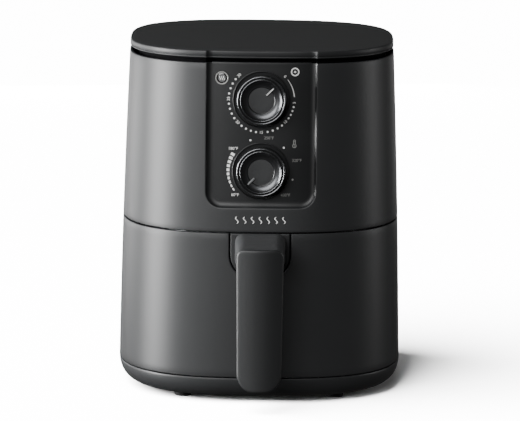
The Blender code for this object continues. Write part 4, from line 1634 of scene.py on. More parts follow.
@dataclass
class Casing:
    """Cover, collar, housing and base: what the machine shows from outside."""

    plan: Plan
    panel_half: float = 42.0
    panel_bottom: float = 151.6
    panel_corner: float = 12.0
    panel_slope: float = 4.6
    panel_depth: float = 2.5
    outlet_half: float = 36.0
    outlet_low: float = 205.0
    outlet_high: float = 245.0
    wall: float = 2.2
    rim_drop: float = 1.0
    top_drop: float = 0.8

    def build(self) -> None:
        """Build and dress every piece of the casing."""
        self.cover()
        self.collar()
        self.housing()
        self.base()
        self.feet()
        self.base_screws()

    def cover(self) -> None:
        """Build the flat cover: a rounded rim, a slight crown line and the recess in front."""
        low, high = (corner.z for corner in measured("top_cover"))
        profile = [(1.3, high), (0.75, high - 0.05), (0.3, high - 0.3), (0.05, high - 0.75)]
        foot = low - self.rim_drop
        profile += [(0.0, high - 1.3), (0.0, foot + 2.0), (0.15, foot + 1.75), (0.55, foot + 1.6)]
        profile += [(0.6, foot + 1.35), (0.25, foot + 1.1), (0.1, foot + 0.75), (0.15, foot + 0.35)]
        profile += [(0.45, foot), (3.2, foot), (3.2, low + 2.2)]
        mesh = self.plan.swept(
            "cover",
            profile,
            COVER_PP,
            steps=1080,
            Recess=self.panel_depth * MM,
            Recess_Half_Width=self.panel_half * MM,
            Recess_Slope=self.panel_slope * MM,
        )
        piece("cover", mesh, "casing", ["top_cover"])

    def collar(self) -> None:
        """Build the collar in the dark gap under the cover, with its thin lip, in near-black painted shade."""
        low, high = (corner.z for corner in measured("top_collar"))
        top = measured("outer_housing")[1].z
        lip = top + 1.5
        profile = [(9.2, low), (6.8, low), (6.8, lip), (3.4, lip), (3.2, lip + 0.2)]
        profile += [(3.2, lip + 0.6), (3.4, lip + 0.8), (6.8, lip + 0.8), (6.8, high), (9.2, high)]
        # The collar is painted near black: painted shade for the gap between the cover and the housing.
        mesh = self.plan.swept(
            "collar",
            profile + profile[:1],
            PAINTED_SHADE_PLASTIC,
            steps=360,
            Recess=(self.panel_depth + 0.9) * MM,
            Recess_Half_Width=self.panel_half * MM,
            Recess_Slope=self.panel_slope * MM,
        )
        piece("collar", mesh, "casing", ["top_collar"])

    def housing(self) -> None:
        """Build the housing with its sloped recess for the panel and its outlet at the rear."""
        slope, depth = self.panel_slope, self.panel_depth
        edge = [(1.2, 0.0), (0.6, 0.03), (0.2, 0.14), (0.0, 0.35)]
        for u in (0.95, 0.86, 0.72, 0.55, 0.36, 0.18, 0.0):
            edge.append((-slope * (1 - u), depth * (1 - u * u) ** RECESS_CURVE))
        edge.append((-slope - 0.8, depth))
        top = measured("outer_housing")[1].z - self.top_drop
        seam = measured("drawer_front")[1].z + 1.0
        bottom = measured("outer_housing")[0].z
        split = measured("drawer_front")[1].y - self.plan.centre_y + 1.0
        notch = Notch(self.panel_half, self.panel_bottom, self.panel_corner, tuple(edge))
        shell = NotchedShell(
            self.plan,
            notch,
            side_x=self.panel_half + self.panel_bottom - seam,
            foot_z=seam,
            top=top,
            bottom=bottom,
            stops=(
                ("right", split, 22, "side"),
                ("rear", self.outlet_half, 16, "rear"),
                ("rear", -self.outlet_half, 16, "outlet"),
                ("left", split, 16, "rear"),
                ("front", -(self.panel_half + self.panel_bottom - seam), 22, "side"),
            ),
            marks_z=(self.outlet_high, self.outlet_low),
            skip=lambda label, z: (
                (z < seam and label in ("front", "side"))
                or (label == "outlet" and self.outlet_low < z < self.outlet_high)
            ),
        )
        mesh = softened(
            thickened(shell.build("housing"), self.wall), 0.7, spared=shell.beside_notch
        )
        mesh.materials.clear()
        for finish in (CASING_PP, PANEL_ABS):
            mesh.materials.append(finish.material())
        for polygon in mesh.polygons:
            x, y, z = polygon.center / MM
            inside = abs(x) < self.panel_half and z > self.panel_bottom and y < self.plan.centre_y
            if inside and y - self.plan.front(x, z).y > 0.5:
                polygon.material_index = 1
        piece("housing", mesh, "casing", ["outer_housing"])

    def base(self) -> None:
        """Build the base pan: a rounded skirt under a fine dark seam."""
        low, high = (corner.z for corner in measured("base_pan"))
        rounding, power = 14.0, 2.2
        profile = [(2.6, high - 0.3), (2.3, high), (0.6, high), (0.15, high - 0.15)]
        profile.append((0.0, high - 0.6))
        for i in range(1, 17):
            share = math.sin(math.pi / 2 * i / 16)
            inset = rounding * (1 - (1 - share**power) ** (1 / power))
            profile.append((inset, high - (high - low) * share))
        profile += [(26.0, low), (27.0, low + 0.8), (27.0, low + 2.8), (16.0, low + 2.8)]
        profile += [(8.0, low + 5.4), (4.4, 12.0)]
        flat = replace(self.plan, base_z=0.0, taper=0.0, growth=0.0)
        mesh = flat.swept("base", profile[::-1] + profile[-1:], CASING_PP)
        ring = [flat.around(math.tau * i / 96, low + 1.8) for i in range(96)]
        middle = Vector((0, self.plan.centre_y, 0))
        rings = []
        for z in (low + 0.4, low + 2.4):
            row = []
            for point in ring:
                inward = middle + (point - middle) * 0.78
                row.append((inward.x, inward.y, z))
            rings.append(row)
        plate = lofted("floor", rings)
        plate.materials.append(CASING_PP.material())
        piece("base", joined("base", [mesh, plate]), "casing", ["base_pan"])

    def under(self, node: str) -> Vector:
        """Return the middle of a CAD node's underside."""
        low, high = measured(node)
        return Vector(((low.x + high.x) / 2, (low.y + high.y) / 2, low.z))

    def feet(self) -> None:
        """Build the four rubber feet, each a turned pad with a shallow dish."""
        names = [f"foot_{corner}" for corner in CORNERS]
        low, high = measured(names[0])
        radius = (high.x - low.x) / 2
        top = measured("base_pan")[0].z - 0.2
        profile = [(0, 0.5), (radius - 2.6, 0.45)]
        profile += [(radius - 2.2, 0.25), (radius - 1.8, 0.06), (radius - 1.3, 0.0)]
        profile += [(radius - 0.7, 0.0), (radius - 0.3, 0.12), (radius - 0.07, 0.42), (radius, 0.9)]
        profile += [(radius, top - 0.3), (radius - 0.3, top), (0, top)]
        shape = turned("foot", Vector((0, 0, 0)), Vector((0, 0, 1)), profile, 40)
        spots = [(*self.under(name), 0.0) for name in names]
        mesh = copied(shape, spots, FOOT_RUBBER, "feet")
        piece("feet", mesh, "casing", names)

    def base_screws(self) -> None:
        """Build the pan-head screws under the base, with crossed recesses."""
        names = [f"base_screw_{corner}" for corner in CORNERS]
        spots = [(*self.under(name), 0.4 * number) for number, name in enumerate(names)]
        mesh = copied(screw_shape(14.0), spots, BRIGHT_STEEL, "base_screws")
        piece("base_screws", mesh, "casing", names)


def screw_shape(length: float) -> bpy.types.Mesh:
    """Return a pan-head screw that stands on its head at the origin, with a crossed recess.

    Args:
        length: Length over all.

    Returns:
        The mesh.
    """
    profile = [(0.0, 0.0), (2.0, 0.05), (2.9, 0.45), (3.25, 1.1), (3.3, 1.8), (1.6, 1.8)]
    for i in range(int((length - 3) / 1.2)):
        z = 2.4 + 1.2 * i
        profile += [(1.2, z), (1.6, z + 0.6)]
    profile += [(1.2, length - 0.4), (0.2, length)]
    body = turned("screw", Vector((0, 0, 0)), Vector((0, 0, 1)), profile, 24)
    reach, half = 2.0, 0.4
    slots = [
        blocks("slot", [((-x, -y, -0.5), (x, y, 1.0))]) for x, y in ((reach, half), (half, reach))
    ]
    return combined(body, slots, "DIFFERENCE")


@dataclass
class Dial:
    """One rotary dial: rim, spun bowl, matt centre and pointer, about its joint's axis."""

    name: str
    pointer_turn: float
    pointer_from: float
    pointer_to: float
    pointer_half: float = 0.5
    pointer_finish: Finish = POINTER_INK
    rim: float = 18.5
    skirt: float = 18.9
    height: float = 10.0
    face: float = 10.3

    def frame_of(self) -> Matrix:
        """Return the dial's own axes: +Y runs into the panel and +Z up along it.

        Returns:
            The axes, as a matrix in world space.
        """
        joint = next(item for item in frame["joints"] if item["name"] == f"{self.name}_turn")
        inward = Vector(joint["axis"]).normalized()
        across = Vector((1, 0, 0))
        up = across.cross(inward).normalized()
        turn = Matrix((across, inward, up)).transposed().to_4x4()
        return Matrix.Translation(Vector(joint["pos_m"]) / MM) @ turn

    def build(self) -> None:
        """Build the dial and its pointer."""
        axes = self.frame_of()
        origin = axes.translation
        inward = axes.to_3x3() @ Vector((0, 1, 0))
        face = -self.height
        foot = 0.85
        disc = [(0.0, face + 3.1), (6.0, face + 3.1), (self.face - 1.1, face + 3.1)]
        disc += arc((self.face - 0.6, face + 3.15), (self.face - 0.1, face + 2.85), -0.25, 3)
        bowl = [(self.face + 0.1, face + 2.75)]
        bowl += arc((self.face + 0.5, face + 2.7), (15.1, face + 0.95), -0.16, 8)
        rim = bead(15.8, face + 0.75, 0.5) + [(16.45, face + 1.5), (16.95, face + 1.5)]
        rim += bead(17.85, face + 1.0, 0.8)
        rim += [(self.rim + 0.1, face + 3.0), (self.skirt - 0.1, foot - 0.5)]
        rim += [(self.skirt, foot), (16.4, foot), (16.4, face + 5.0), (6.2, face + 5.0)]
        rim += [(6.2, foot - 2.0), (3.35, foot - 2.0), (3.35, face + 4.6), (0.0, face + 4.6)]
        mesh = turned(self.name, origin, inward, disc + bowl + rim, sides=144)
        for finish in (DIAL_ABS, DIAL_FOIL, DIAL_FACE, DIAL_PLATE):
            mesh.materials.append(finish.material())
        inverse = axes.inverted()
        for polygon in mesh.polygons:
            spot = inverse @ (polygon.center / MM)
            radius = math.hypot(spot.x, spot.z)
            if spot.y > face + 3.6:
                continue
            if radius < self.face - 0.5:
                polygon.material_index = 2
            elif self.face + 0.35 < radius < 15.25:
                polygon.material_index = 1
            elif spot.y < face + 1.05:
                polygon.material_index = 3
        name = f"{self.name}_dial_body"
        piece(name, mesh, f"{self.name}_dial", [f"{self.name}_knob"])
        self.pointer(axes, face)

    def pointer(self, axes: Matrix, face: float) -> None:
        """Build the raised pointer bar that lies over the bowl's inner edge.

        Args:
            axes: The dial's own axes.
            face: How deep the face lies along the axis.
        """
        half = self.pointer_half
        shape = bmesh.new()
        outline = rounded_outline(
            -half, self.pointer_from, half, self.pointer_to, [half * 0.95] * 4, steps=5
        )
        rings = []
        for grow, rise in ((0.0, 3.6), (0.0, -0.35), (-0.12 * half, -0.55), (-0.4 * half, -0.65)):
            row = []
            for x, z in outline:
                middle = (self.pointer_from + self.pointer_to) / 2
                shrink = 1 + grow / half
                slope = max(0.0, z - self.face) * 0.38
                y = face + 2.9 - slope + rise
                row.append(Vector((x * shrink, y, middle + (z - middle) * (1 + grow / 6))))
            rings.append(row)
        loft(shape, rings, capped=True)
        turn = Matrix.Rotation(math.radians(self.pointer_turn), 4, "Y")
        bmesh.ops.transform(shape, matrix=axes @ turn, verts=shape.verts)
        mesh = to_mesh(f"{self.name}_pointer", shape)
        piece(mesh.name, mesh, f"{self.name}_dial", (), self.pointer_finish)


@dataclass
class ControlPanel:
    """The recessed panel's floor, its two wells, the printed scales and the indicator."""

    plan: Plan
    timer: Dial
    temperature: Dial
    half: float = 37.9
    bottom: float = 155.7
    corner: float = 7.9
    inset: float = 2.53
    thickness: float = 2.6
    well: float = 21.2
    well_depth: float = 1.2
    mark_radius: float = 25.1
    print_thickness: float = 0.08
    cell: float = 1.6
    dot: float = 1.55

    def build(self) -> None:
        """Build the panel, what is printed on it, and the lamp's lens."""
        self.floor()
        self.prints()
        self.lens()

    def centres(self) -> tuple[float, float]:
        """Return the heights of the timer's and the temperature dial's axes."""
        return self.timer.frame_of().translation.z, self.temperature.frame_of().translation.z

    def floor(self) -> None:
        """Build the floor as a dense flat plate, cut the wells in it, then drape it."""
        top = measured("control_panel")[1].z - 0.2
        columns = round(2 * self.half / self.cell)
        rows = round((top - self.bottom) / self.cell)
        plate = bmesh.new()
        for y in (0.0, self.thickness):
            points = []
            for j in range(rows + 1):
                z = self.bottom + (top - self.bottom) * j / rows
                xs = [-self.half + 2 * self.half * i / columns for i in range(columns + 1)]
                points.append([plate.verts.new((x, y, z)) for x in xs])
            for low, high in zip(points, points[1:]):
                for i in range(columns):
                    plate.faces.new((low[i], low[i + 1], high[i + 1], high[i]))
        edges = [edge for edge in plate.edges if edge.is_boundary]
        bmesh.ops.bridge_loops(plate, edges=edges)
        mesh = to_mesh("panel", plate)
        corners = (self.corner, self.corner, 0.5, 0.5)
        outline = rounded_outline(-self.half, self.bottom, self.half, top + 5, corners)
        mesh = combined(mesh, [lofted("outline", upright(outline, (-5, 8)))], "INTERSECT")
        way = Vector((0, 1, 0))
        tools = []
        for z in self.centres():
            centre = Vector((0, 0, z))
            well = [(self.well, -4), (self.well, self.well_depth)]
            tools.append(turned("well", centre, way, well, 96))
            tools.append(turned("hole", centre, way, [(3.6, -4), (3.6, 8)], 24))
        lens_x, lens_z, lens_r = self.lens_place()
        spot = Vector((lens_x, 0, lens_z))
        tools.append(turned("lens_hole", spot, way, [(lens_r + 0.3, -4), (lens_r + 0.3, 8)], 48))
        mesh = softened(combined(mesh, tools, "DIFFERENCE"), 0.45, angle=60)
        mesh = self.plan.draped(mesh, self.inset, PANEL_ABS)
        piece("panel", mesh, "casing", ["control_panel"])
        for z in self.centres():
            self.well_ring(z)

    def well_ring(self, z: float) -> None:
        """Build the thin raised ring that edges a well.

        Args:
            z: Height of the well.
        """
        name = f"well_ring_{'upper' if z == max(self.centres()) else 'lower'}"
        profile = [(self.well - 0.1, 0.3), (self.well - 0.1, -0.1)]
        profile += arc((self.well, -0.3), (self.well + 0.75, -0.3), 0.5, 5)
        profile += [(self.well + 0.85, 0.0), (self.well + 0.85, 0.3)]
        mesh = turned(name, Vector((0, 0, z)), Vector((0, 1, 0)), profile, 128, closed=True)
        mesh = self.plan.draped(mesh, self.inset, PANEL_ABS)
        piece(name, mesh, "casing", ())

    def lens_place(self) -> tuple[float, float, float]:
        """Return the indicator lens's centre and radius."""
        low, high = measured("indicator_lens")
        return (low.x + high.x) / 2, (low.z + high.z) / 2, (high.x - low.x) / 2

    def lens(self) -> None:
        """Build the indicator's domed lens, its bright rim and the heat sign on it."""
        x, z, radius = self.lens_place()
        spot, way = Vector((x, 0, z)), Vector((0, 1, 0))
        dome = [(0.0, -0.35), (radius * 0.5, -0.3), (radius * 0.8, -0.15), (radius - 0.5, 0.1)]
        dome += [(radius - 0.5, 2.0), (0.0, 2.0)]
        mesh = self.plan.draped(turned("lens", spot, way, dome, 48), self.inset, LENS_ACRYLIC)
        piece("indicator", mesh, "casing", ["indicator_lens"])
        rim = [(radius - 0.45, 0.5), (radius - 0.45, -0.25), (radius - 0.2, -0.45)]
        rim += [(radius + 0.25, -0.45), (radius + 0.45, -0.2), (radius + 0.45, 0.5)]
        mesh = turned("rim", spot, way, rim, 64, closed=True)
        piece("indicator_rim", self.plan.draped(mesh, self.inset, INK_GREY), "casing")
        disc = bmesh.new()
        add_ring(disc, x, z, 3.0, 0.0, -0.4)
        meshes = [self.plan.draped(to_mesh("disc", disc), self.inset, LENS_DISC)]
        waves = bmesh.new()
        for shift in (-1.5, 0.0, 1.5):
            add_wave(waves, x + shift, z, 3.2, 0.35, 0.5, -0.48, -0.3)
        meshes.append(self.plan.draped(to_mesh("waves", waves), self.inset, INK_WHITE))
        piece("indicator_sign", joined("indicator_sign", meshes), "casing")

    def marks(self, finish: Finish, **values: float) -> bpy.types.Mesh:
        """Return one run of a dial's scale, made by Geometry Nodes.

        Args:
            finish: Ink of the marks.
            **values: Inputs of the tree by name, besides its sizes.

        Returns:
            The mesh.
        """
        empty = bpy.data.meshes.new("marks")
        sizes = dict.fromkeys(("Along", "First_Width", "Last_Width"), self.dot * MM)
        sizes.update(Radius=self.mark_radius * MM, Thickness=self.print_thickness * MM, Round=True)
        return run_tree(empty, arc_marks(), Material=finish.material(), **{**sizes, **values})

    def prints(self) -> None:
        """Print the scales, the numbers and the signs, then drape each colour as one piece."""
        upper, lower = self.centres()
        white: list[bpy.types.Mesh] = []
        grey: list[bpy.types.Mesh] = []
        for first, step, count in ((102.7, 7.2, 4), (141.2, 9.2, 4), (189.2, 9.2, 4)):
            white.append(self.run_of_dots(upper, first, step, count))
        for first, step in ((235.2, 9.0), (280.2, 9.2)):
            white.append(self.run_of_dots(upper, first, step, 4))
        for number, angle in enumerate((45, 95, 133, 180, 226, 271, 317)):
            white.append(self.number(str(5 * number), upper, angle, self.mark_radius, 3.1))
        white.append(self.arc_line(upper, 52, 85, 0.75))
        for angle in (341, 43.6):
            white.append(self.run_of_dots(lower, angle, 0, 1))
        grey.append(self.run_of_dots(lower, 104.5, 0, 1))
        white.append(
            self.marks(
                INK_WHITE,
                Count=10,
                Centre_Z=lower * MM,
                First_Angle=math.radians(236),
                Step_Angle=math.radians(7.2),
                Along=2.1 * MM,
                First_Width=0.9 * MM,
                Last_Width=3.0 * MM,
                Round=False,
            )
        )
        labels = (
            ("60", 227, 26.8, white),
            ("180", 309, 27.4, white),
            ("250", 13, 26.2, grey),
            ("320", 73, 28.6, grey),
            ("400", 134, 26.2, grey),
        )
        for words, angle, radius, ink in labels:
            ink.append(self.number(f"{words}°F", lower, angle, radius, 3.2, True))
        signs = bmesh.new()
        add_ring(signs, 25.4, 255.9, 3.25, 2.3, -self.print_thickness)
        add_ring(signs, 25.4, 255.9, 0.85, 0.0, -self.print_thickness)
        white.append(to_mesh("clock_sign", signs))
        grey.append(self.thermometer_sign())
        for colour, meshes, finish in (("white", white, INK_WHITE), ("grey", grey, INK_GREY)):
            name = f"print_{colour}"
            mesh = self.plan.draped(joined(name, meshes), self.inset - 0.02, finish)
            piece(name, mesh, "casing")
        waves = bmesh.new()
        for i in range(7):
            add_wave(waves, -18.0 + 6.0 * i, 142.5, 5.4, 0.95, 0.8, -0.12, 0.3)
        mesh = self.plan.draped(to_mesh("heat_mark", waves), 0.0, INK_WHITE)
        piece("heat_mark", mesh, "casing")

    def run_of_dots(self, centre: float, first: float, step: float, count: int) -> bpy.types.Mesh:
        """Return dots along a scale, from a first angle clockwise from the top.

        Args:
            centre: Height of the dial that they go round.
            first: Angle of the first dot, in degrees.
            step: Degrees from one dot to the next.
            count: Number of dots.

        Returns:
            The mesh.
        """
        return self.marks(
            INK_WHITE,
            Count=count,
            Centre_Z=centre * MM,
            First_Angle=math.radians(first),
            Step_Angle=math.radians(step),
        )

    def arc_line(self, centre: float, first: float, last: float, width: float) -> bpy.types.Mesh:
        """Return a thin line along a scale that ends in a point.

        Args:
            centre: Height of the dial that it goes round.
            first: Angle where it starts, in degrees.
            last: Angle where it ends, in degrees.
            width: Width at the wide end.

        Returns:
            The mesh.
        """
        steps = 16
        rows = []
        for i in range(steps + 1):
            angle = math.radians(first + (last - first) * i / steps)
            half = width / 2 * (0.35 + 0.65 * i / steps)
            row = []
            for radius in (self.mark_radius - half, self.mark_radius + half):
                x, z = radius * math.sin(angle), centre + radius * math.cos(angle)
                row.append(((x, 0.0, z), (x, -self.print_thickness, z)))
            rows.append([row[0][0], row[1][0], row[1][1], row[0][1]])
        return lofted("arc_line", rows)

    def number(
        self,
        words: str,
        centre: float,
        angle: float,
        radius: float,
        size: float,
        level: bool = False,
    ) -> bpy.types.Mesh:
        """Return printed figures on a scale.

        Args:
            words: What is printed.
            centre: Height of the dial's axis.
            angle: Place on the scale, in degrees clockwise from the top.
            radius: Distance from the axis.
            size: Height of a line of print.
            level: Whether the figures stand level, or lean with the scale.

        Returns:
            The figures as a flat mesh.
        """
        data = bpy.data.curves.new("figures", "FONT")
        data.body = words
        data.size = size * MM
        data.extrude = self.print_thickness / 2 * MM
        data.resolution_u = 3
        data.align_x = "CENTER"
        data.align_y = "CENTER"
        item = bpy.data.objects.new("figures", data)
        bpy.context.scene.collection.objects.link(item)
        mesh = evaluated(item)
        turn = math.radians(angle)
        lean = 0.0 if level else (angle if angle < 90 or angle > 270 else angle - 180)
        z = centre + radius * math.cos(turn)
        place = Vector((radius * math.sin(turn), -self.print_thickness / 2, z))
        matrix = Matrix.Translation(place * MM) @ Matrix.Rotation(math.radians(lean), 4, "Y")
        mesh.transform(matrix @ Matrix.Rotation(math.pi / 2, 4, "X"))
        return mesh

    def thermometer_sign(self) -> bpy.types.Mesh:
        """Return the sign by the temperature dial: a tube over a bulb, in outline.

        Returns:
            The mesh.
        """
        x, z, front = 25.4, 200.6, -self.print_thickness
        rings = bmesh.new()
        for up, outer, inner in ((-1.2, 1.6, 1.05), (-1.2, 0.45, 0.0), (2.6, 1.0, 0.52)):
            add_ring(rings, x, z + up, outer, inner, front)
        lefts = [x + 0.75 * side - 0.24 for side in (-1, 1)]
        sides = [((left, front, z + 0.25), (left + 0.48, 0.0, z + 2.6)) for left in lefts]
        return joined("thermometer_sign", [to_mesh("rings", rings), blocks("sides", sides)])


def add_ring(
    shape: bmesh.types.BMesh, x: float, z: float, outer: float, inner: float, front: float
) -> None:
    """Add a flat printed ring, or a dot where the inner radius is nothing.

    Args:
        shape: The shape that gets it.
        x: Middle in X.
        z: Middle in Z.
        outer: Outer radius.
        inner: Inner radius, or nothing for a dot.
        front: Y of the front face.
    """
    back, steps = 0.0, 40
    rings = []
    order = [(outer, back), (outer, front)]
    if inner > 0:
        order += [(inner, front), (inner, back)]
    for radius, y in order:
        row = []
        for i in range(steps):
            angle = math.tau * i / steps
            row.append((x + radius * math.cos(angle), y, z + radius * math.sin(angle)))
        rings.append(row)
    loft(shape, rings, capped=inner <= 0, closed=inner > 0)


def add_wave(
    shape: bmesh.types.BMesh,
    x: float,
    z: float,
    height: float,
    sway: float,
    width: float,
    front: float,
    back: float,
) -> None:
    """Add one upright wavy line of a heat sign.

    Args:
        shape: The bmesh that gets it.
        x: Its middle, across.
        z: Its middle, up.
        height: How tall it is.
        sway: How far it swings to each side.
        width: How wide the line is.
        front: Y of its front face.
        back: Y of its back.
    """
    rings = []
    steps = 18
    for i in range(steps + 1):
        share = i / steps
        shift = x + sway * math.sin(math.tau * share)
        up = z + height * (share - 0.5)
        half = width / 2 * min(1.0, 0.35 + 6 * min(share, 1 - share))
        sides = ((-half, back), (half, back), (half, front), (-half, front))
        rings.append([(shift + x_side, y, up) for x_side, y in sides])
    loft(shape, rings, capped=True)


@dataclass
class Drawer:
    """The drawer: its front with the handle's seat, the grip, the coated pan and the tray."""

    plan: Plan
    seat_half: float = 23.7
    seat_bottom: float = 96.8
    seat_corner: float = 18.5
    gap: float = 1.05
    wall: float = 2.2
    pan_power: float = 3.0
    grip_taper: Pair = (0.975, 1.04)
    tray_room: float = 0.3
    plate_rise: Pair = (1.2, 2.9)

    def build(self) -> None:
        """Build and dress every piece of the drawer."""
        self.front()
        self.seat()
        self.cover_plate()
        self.grip()
        self.pan()
        self.tray()
        self.bumpers()

    def front(self) -> None:
        """Build the drawer's front, with rounded edges along its seams and round the seat."""
        low, high = measured("drawer_front")
        edge = ((1.2, 0.0), (0.6, 0.05), (0.2, 0.2), (0.02, 0.5), (0.0, 0.9), (0.0, 2.4))
        notch = Notch(self.seat_half, self.seat_bottom, self.seat_corner, edge)
        end_y = high.y - self.plan.centre_y
        shell = NotchedShell(
            self.plan,
            notch,
            side_x=50.0,
            foot_z=66.0,
            top=high.z,
            bottom=low.z,
            stops=(("right", end_y, 26, "side"),),
            corner_steps=9,
            flat_steps=4,
        )
        surface = shell.build("drawer_skin")
        surface = joined("drawer_skin", [surface, self.left_wing(shell)])
        shape = bmesh.new()
        shape.from_mesh(surface)
        bmesh.ops.remove_doubles(shape, verts=shape.verts, dist=WELD)
        shape.to_mesh(surface)
        shape.free()
        mesh = softened(thickened(surface, self.wall), 0.55, spared=shell.beside_notch)
        piece("drawer_skin", mesh, "drawer", ["drawer_front"], CASING_PP)

    def left_wing(self, shell: NotchedShell) -> bpy.types.Mesh:
        """Return the wing to the left of the front's block, as the right one seen in a mirror.

        Args:
            shell: The shell whose right wing it mirrors.

        Returns:
            The mesh.
        """
        shape = bmesh.new()
        kind, value, steps, _ = shell.stops[0]
        columns = []
        for i in range(steps + 1):
            column = []
            for z in shell.rows():
                start = shell.direction("front", shell.side_x, z)
                end = shell.direction(kind, value, z)
                point = self.plan.around(start + (end - start) * i / steps, z)
                column.append(shape.verts.new((-point.x, point.y, point.z)))
            columns.append(column)
        for near, far in zip(columns, columns[1:]):
            for i in range(len(near) - 1):
                shape.faces.new((near[i], far[i], far[i + 1], near[i + 1]))
        return to_mesh("left_wing", shape, recalculate=False)

    def seat(self) -> None:
        """Build the tongue-shaped seat that the handle's arm grows from, and a near-black sheet of painted shade
        behind the gap round it.
        """
        top = measured("handle_mount")[1].z
        steps = ((0.0, 2.6), (0.0, 0.5), (0.15, 0.2), (0.5, 0.03), (1.0, 0.0))
        rings = []
        for inset, y in (*steps, (4.0, 0.0), (9.0, 0.0), (15.0, 0.0)):
            outline = self.tongue(inset, top - min(inset, 1.0))
            rings += upright(outline, (y,))
        mesh = self.plan.draped(lofted("seat", rings), 0.15, HANDLE_NYLON)
        # A near-black sheet behind the seat's gap: painted shade, so that the gap reads dark whatever light falls
        # into it.
        flange = lofted("flange", upright(self.tongue(-3.0, top), (2.45, 3.0)))
        behind = self.plan.draped(flange, 0.15, PAINTED_SHADE_PLASTIC)
        mesh = joined("seat", [mesh, behind])
        piece("seat", mesh, "drawer", ["handle_mount"])

    def tongue(self, inset: float, top: float) -> list[Pair]:
        """Return the seat's outline, moved in by an inset: square above, rounded below.

        Args:
            inset: Distance in from the outline.
            top: Height of its top edge.

        Returns:
            The points, as X and Z.
        """
        half = self.seat_half - self.gap - inset
        radius = max(self.seat_corner - self.gap - inset, 0.6)
        bottom = self.seat_bottom + self.gap + inset
        return rounded_outline(
            -half, bottom, half, top, (radius, radius, 0.5, 0.5), pieces=(16, 8)
        )

    def outline(self, inset: float) -> list[Pair]:
        """Return the grip's outline: tight corners at the top and an almost round tip.

        Args:
            inset: Distance in from the outline.

        Returns:
            The points, as X and Z.
        """
        low, high = measured("handle_cover")
        low.z, high.z = low.z + self.plate_rise[0], high.z + self.plate_rise[1]
        half = (high.x - low.x) / 2 - inset
        tip = max(13.5 - inset, 0.6)
        top = max(6.2 - inset, 0.5)
        corners = (tip, tip, top, top)
        line = rounded_outline(-half, low.z + inset, half, high.z - inset, corners, 10, (12, 24))
        tall = high.z - low.z
        narrow, wide = self.grip_taper
        return [(x * (narrow + (wide - narrow) * (z - low.z) / tall), z) for x, z in line]

    def cover_plate(self) -> None:
        """Build the gently curved face plate with its bright rounded edge."""
        low, high = measured("handle_cover")
        curve = 44.0

        def face(x: float) -> float:
            """Return the Y of the curved face at an X."""
            return low.y + curve - math.sqrt(curve * curve - x * x)

        rings = []
        side_y = high.y
        rows = [(0.35, None, side_y), (0.0, None, side_y - 0.35)]
        rows += [(0.0, 1.5, 0.0), (0.12, 0.9, 0.0), (0.4, 0.42, 0.0), (0.85, 0.12, 0.0)]
        rows += [(inset, 0.0, 0.0) for inset in (1.4, 3.0, 6.0, 9.0, 12.0, 15.0)]
        for inset, sink, flat in rows:
            row = []
            for x, z in self.outline(inset):
                y = flat if sink is None else face(x) + sink
                row.append((x, min(y, side_y - 0.1) if sink is not None else y, z))
            rings.append(row)
        mesh = lofted("grip_plate", rings)
        piece("grip_plate", mesh, "drawer", ["handle_cover"], HANDLE_NYLON)

    def grip(self) -> None:
        """Build the arm and the grip's back as one smooth body, by remeshing their union."""
        high = measured("handle_shell")[1]
        join = measured("handle_cover")[1].y + 0.3
        sections = (
            (high.y + 0.4, 19.3, 105.5, 132.5, 6.0),
            (high.y - 6.0, 19.1, 106.4, 132.3, 6.5),
            (high.y - 12.0, 18.8, 106.6, 131.8, 6.5),
            (high.y - 20.0, 18.3, 105.4, 130.6, 6.5),
            (high.y - 28.0, 17.9, 102.0, 129.0, 6.0),
            (high.y - 33.5, 17.5, 96.0, 127.5, 5.0),
            (join, 17.3, 90.0, 126.4, 4.6),
        )
        arm = []
        for y, half, bottom, top, corner in sections:
            outline = rounded_outline(-half, bottom, half, top, [corner] * 4, steps=6)
            arm += upright(outline, (y,))
        back = []
        for behind, inset in ((0.0, 0.25), (2.5, 0.25), (5.0, 1.1), (6.8, 2.8), (7.8, 5.6)):
            back += upright(self.outline(inset), (join + behind,))
        mesh = combined(lofted("grip", arm), [lofted("grip_back", back)], "UNION")
        item = bench("grip", mesh)
        remesh = item.modifiers.new("one_body", "REMESH")
        remesh.mode = "VOXEL"
        remesh.voxel_size = 0.75 * MM
        smooth = item.modifiers.new("soft", "SMOOTH")
        smooth.factor = 0.5
        smooth.iterations = 7
        mesh = evaluated(item)
        mesh.shade_smooth()
        # The shell's lighter nylon is painted light, standing in for the light that falls on the arm's top.
        piece("grip", mesh, "drawer", ["handle_shell"], LIT_SHELL_NYLON)

    def pan(self) -> None:
        """Build the coated pan with a rolled rim."""
        low, high = measured("drawer_pan")
        flare, rim = 4.0, 2.5
        half = (high.x - low.x) / 2 - rim - flare
        depth = (high.y - low.y) / 2 - rim - flare
        plan = Plan(self.plan.centre_y, half, depth / half, self.pan_power)
        outer = ((12.0, 0.0), (7.5, 0.2), (4.0, 1.2), (1.7, 3.2), (0.5, 6.0), (0.0, 9.5))
        lip = ((0.0, -4.0), (-0.4, -2.2), (-1.3, -1.6), (-2.2, -1.5), (-2.5, -1.0))
        lip += ((-2.3, -0.4), (-1.6, 0.0), (0.2, 0.0), (0.9, -0.3), (1.2, -1.2))
        inner = ((1.2, 10.0), (1.7, 6.6), (2.9, 3.9), (5.2, 2.2), (8.5, 1.4), (12.5, 1.3))
        rise = high.z - low.z
        levels = [*outer, *((inset, rise + drop) for inset, drop in lip), *inner]
        profile = [(inset - flare * up / rise, low.z + up) for inset, up in levels]
        mesh = plan.swept("pan", profile, NONSTICK)
        piece("pan", mesh, "drawer", ["drawer_pan"])

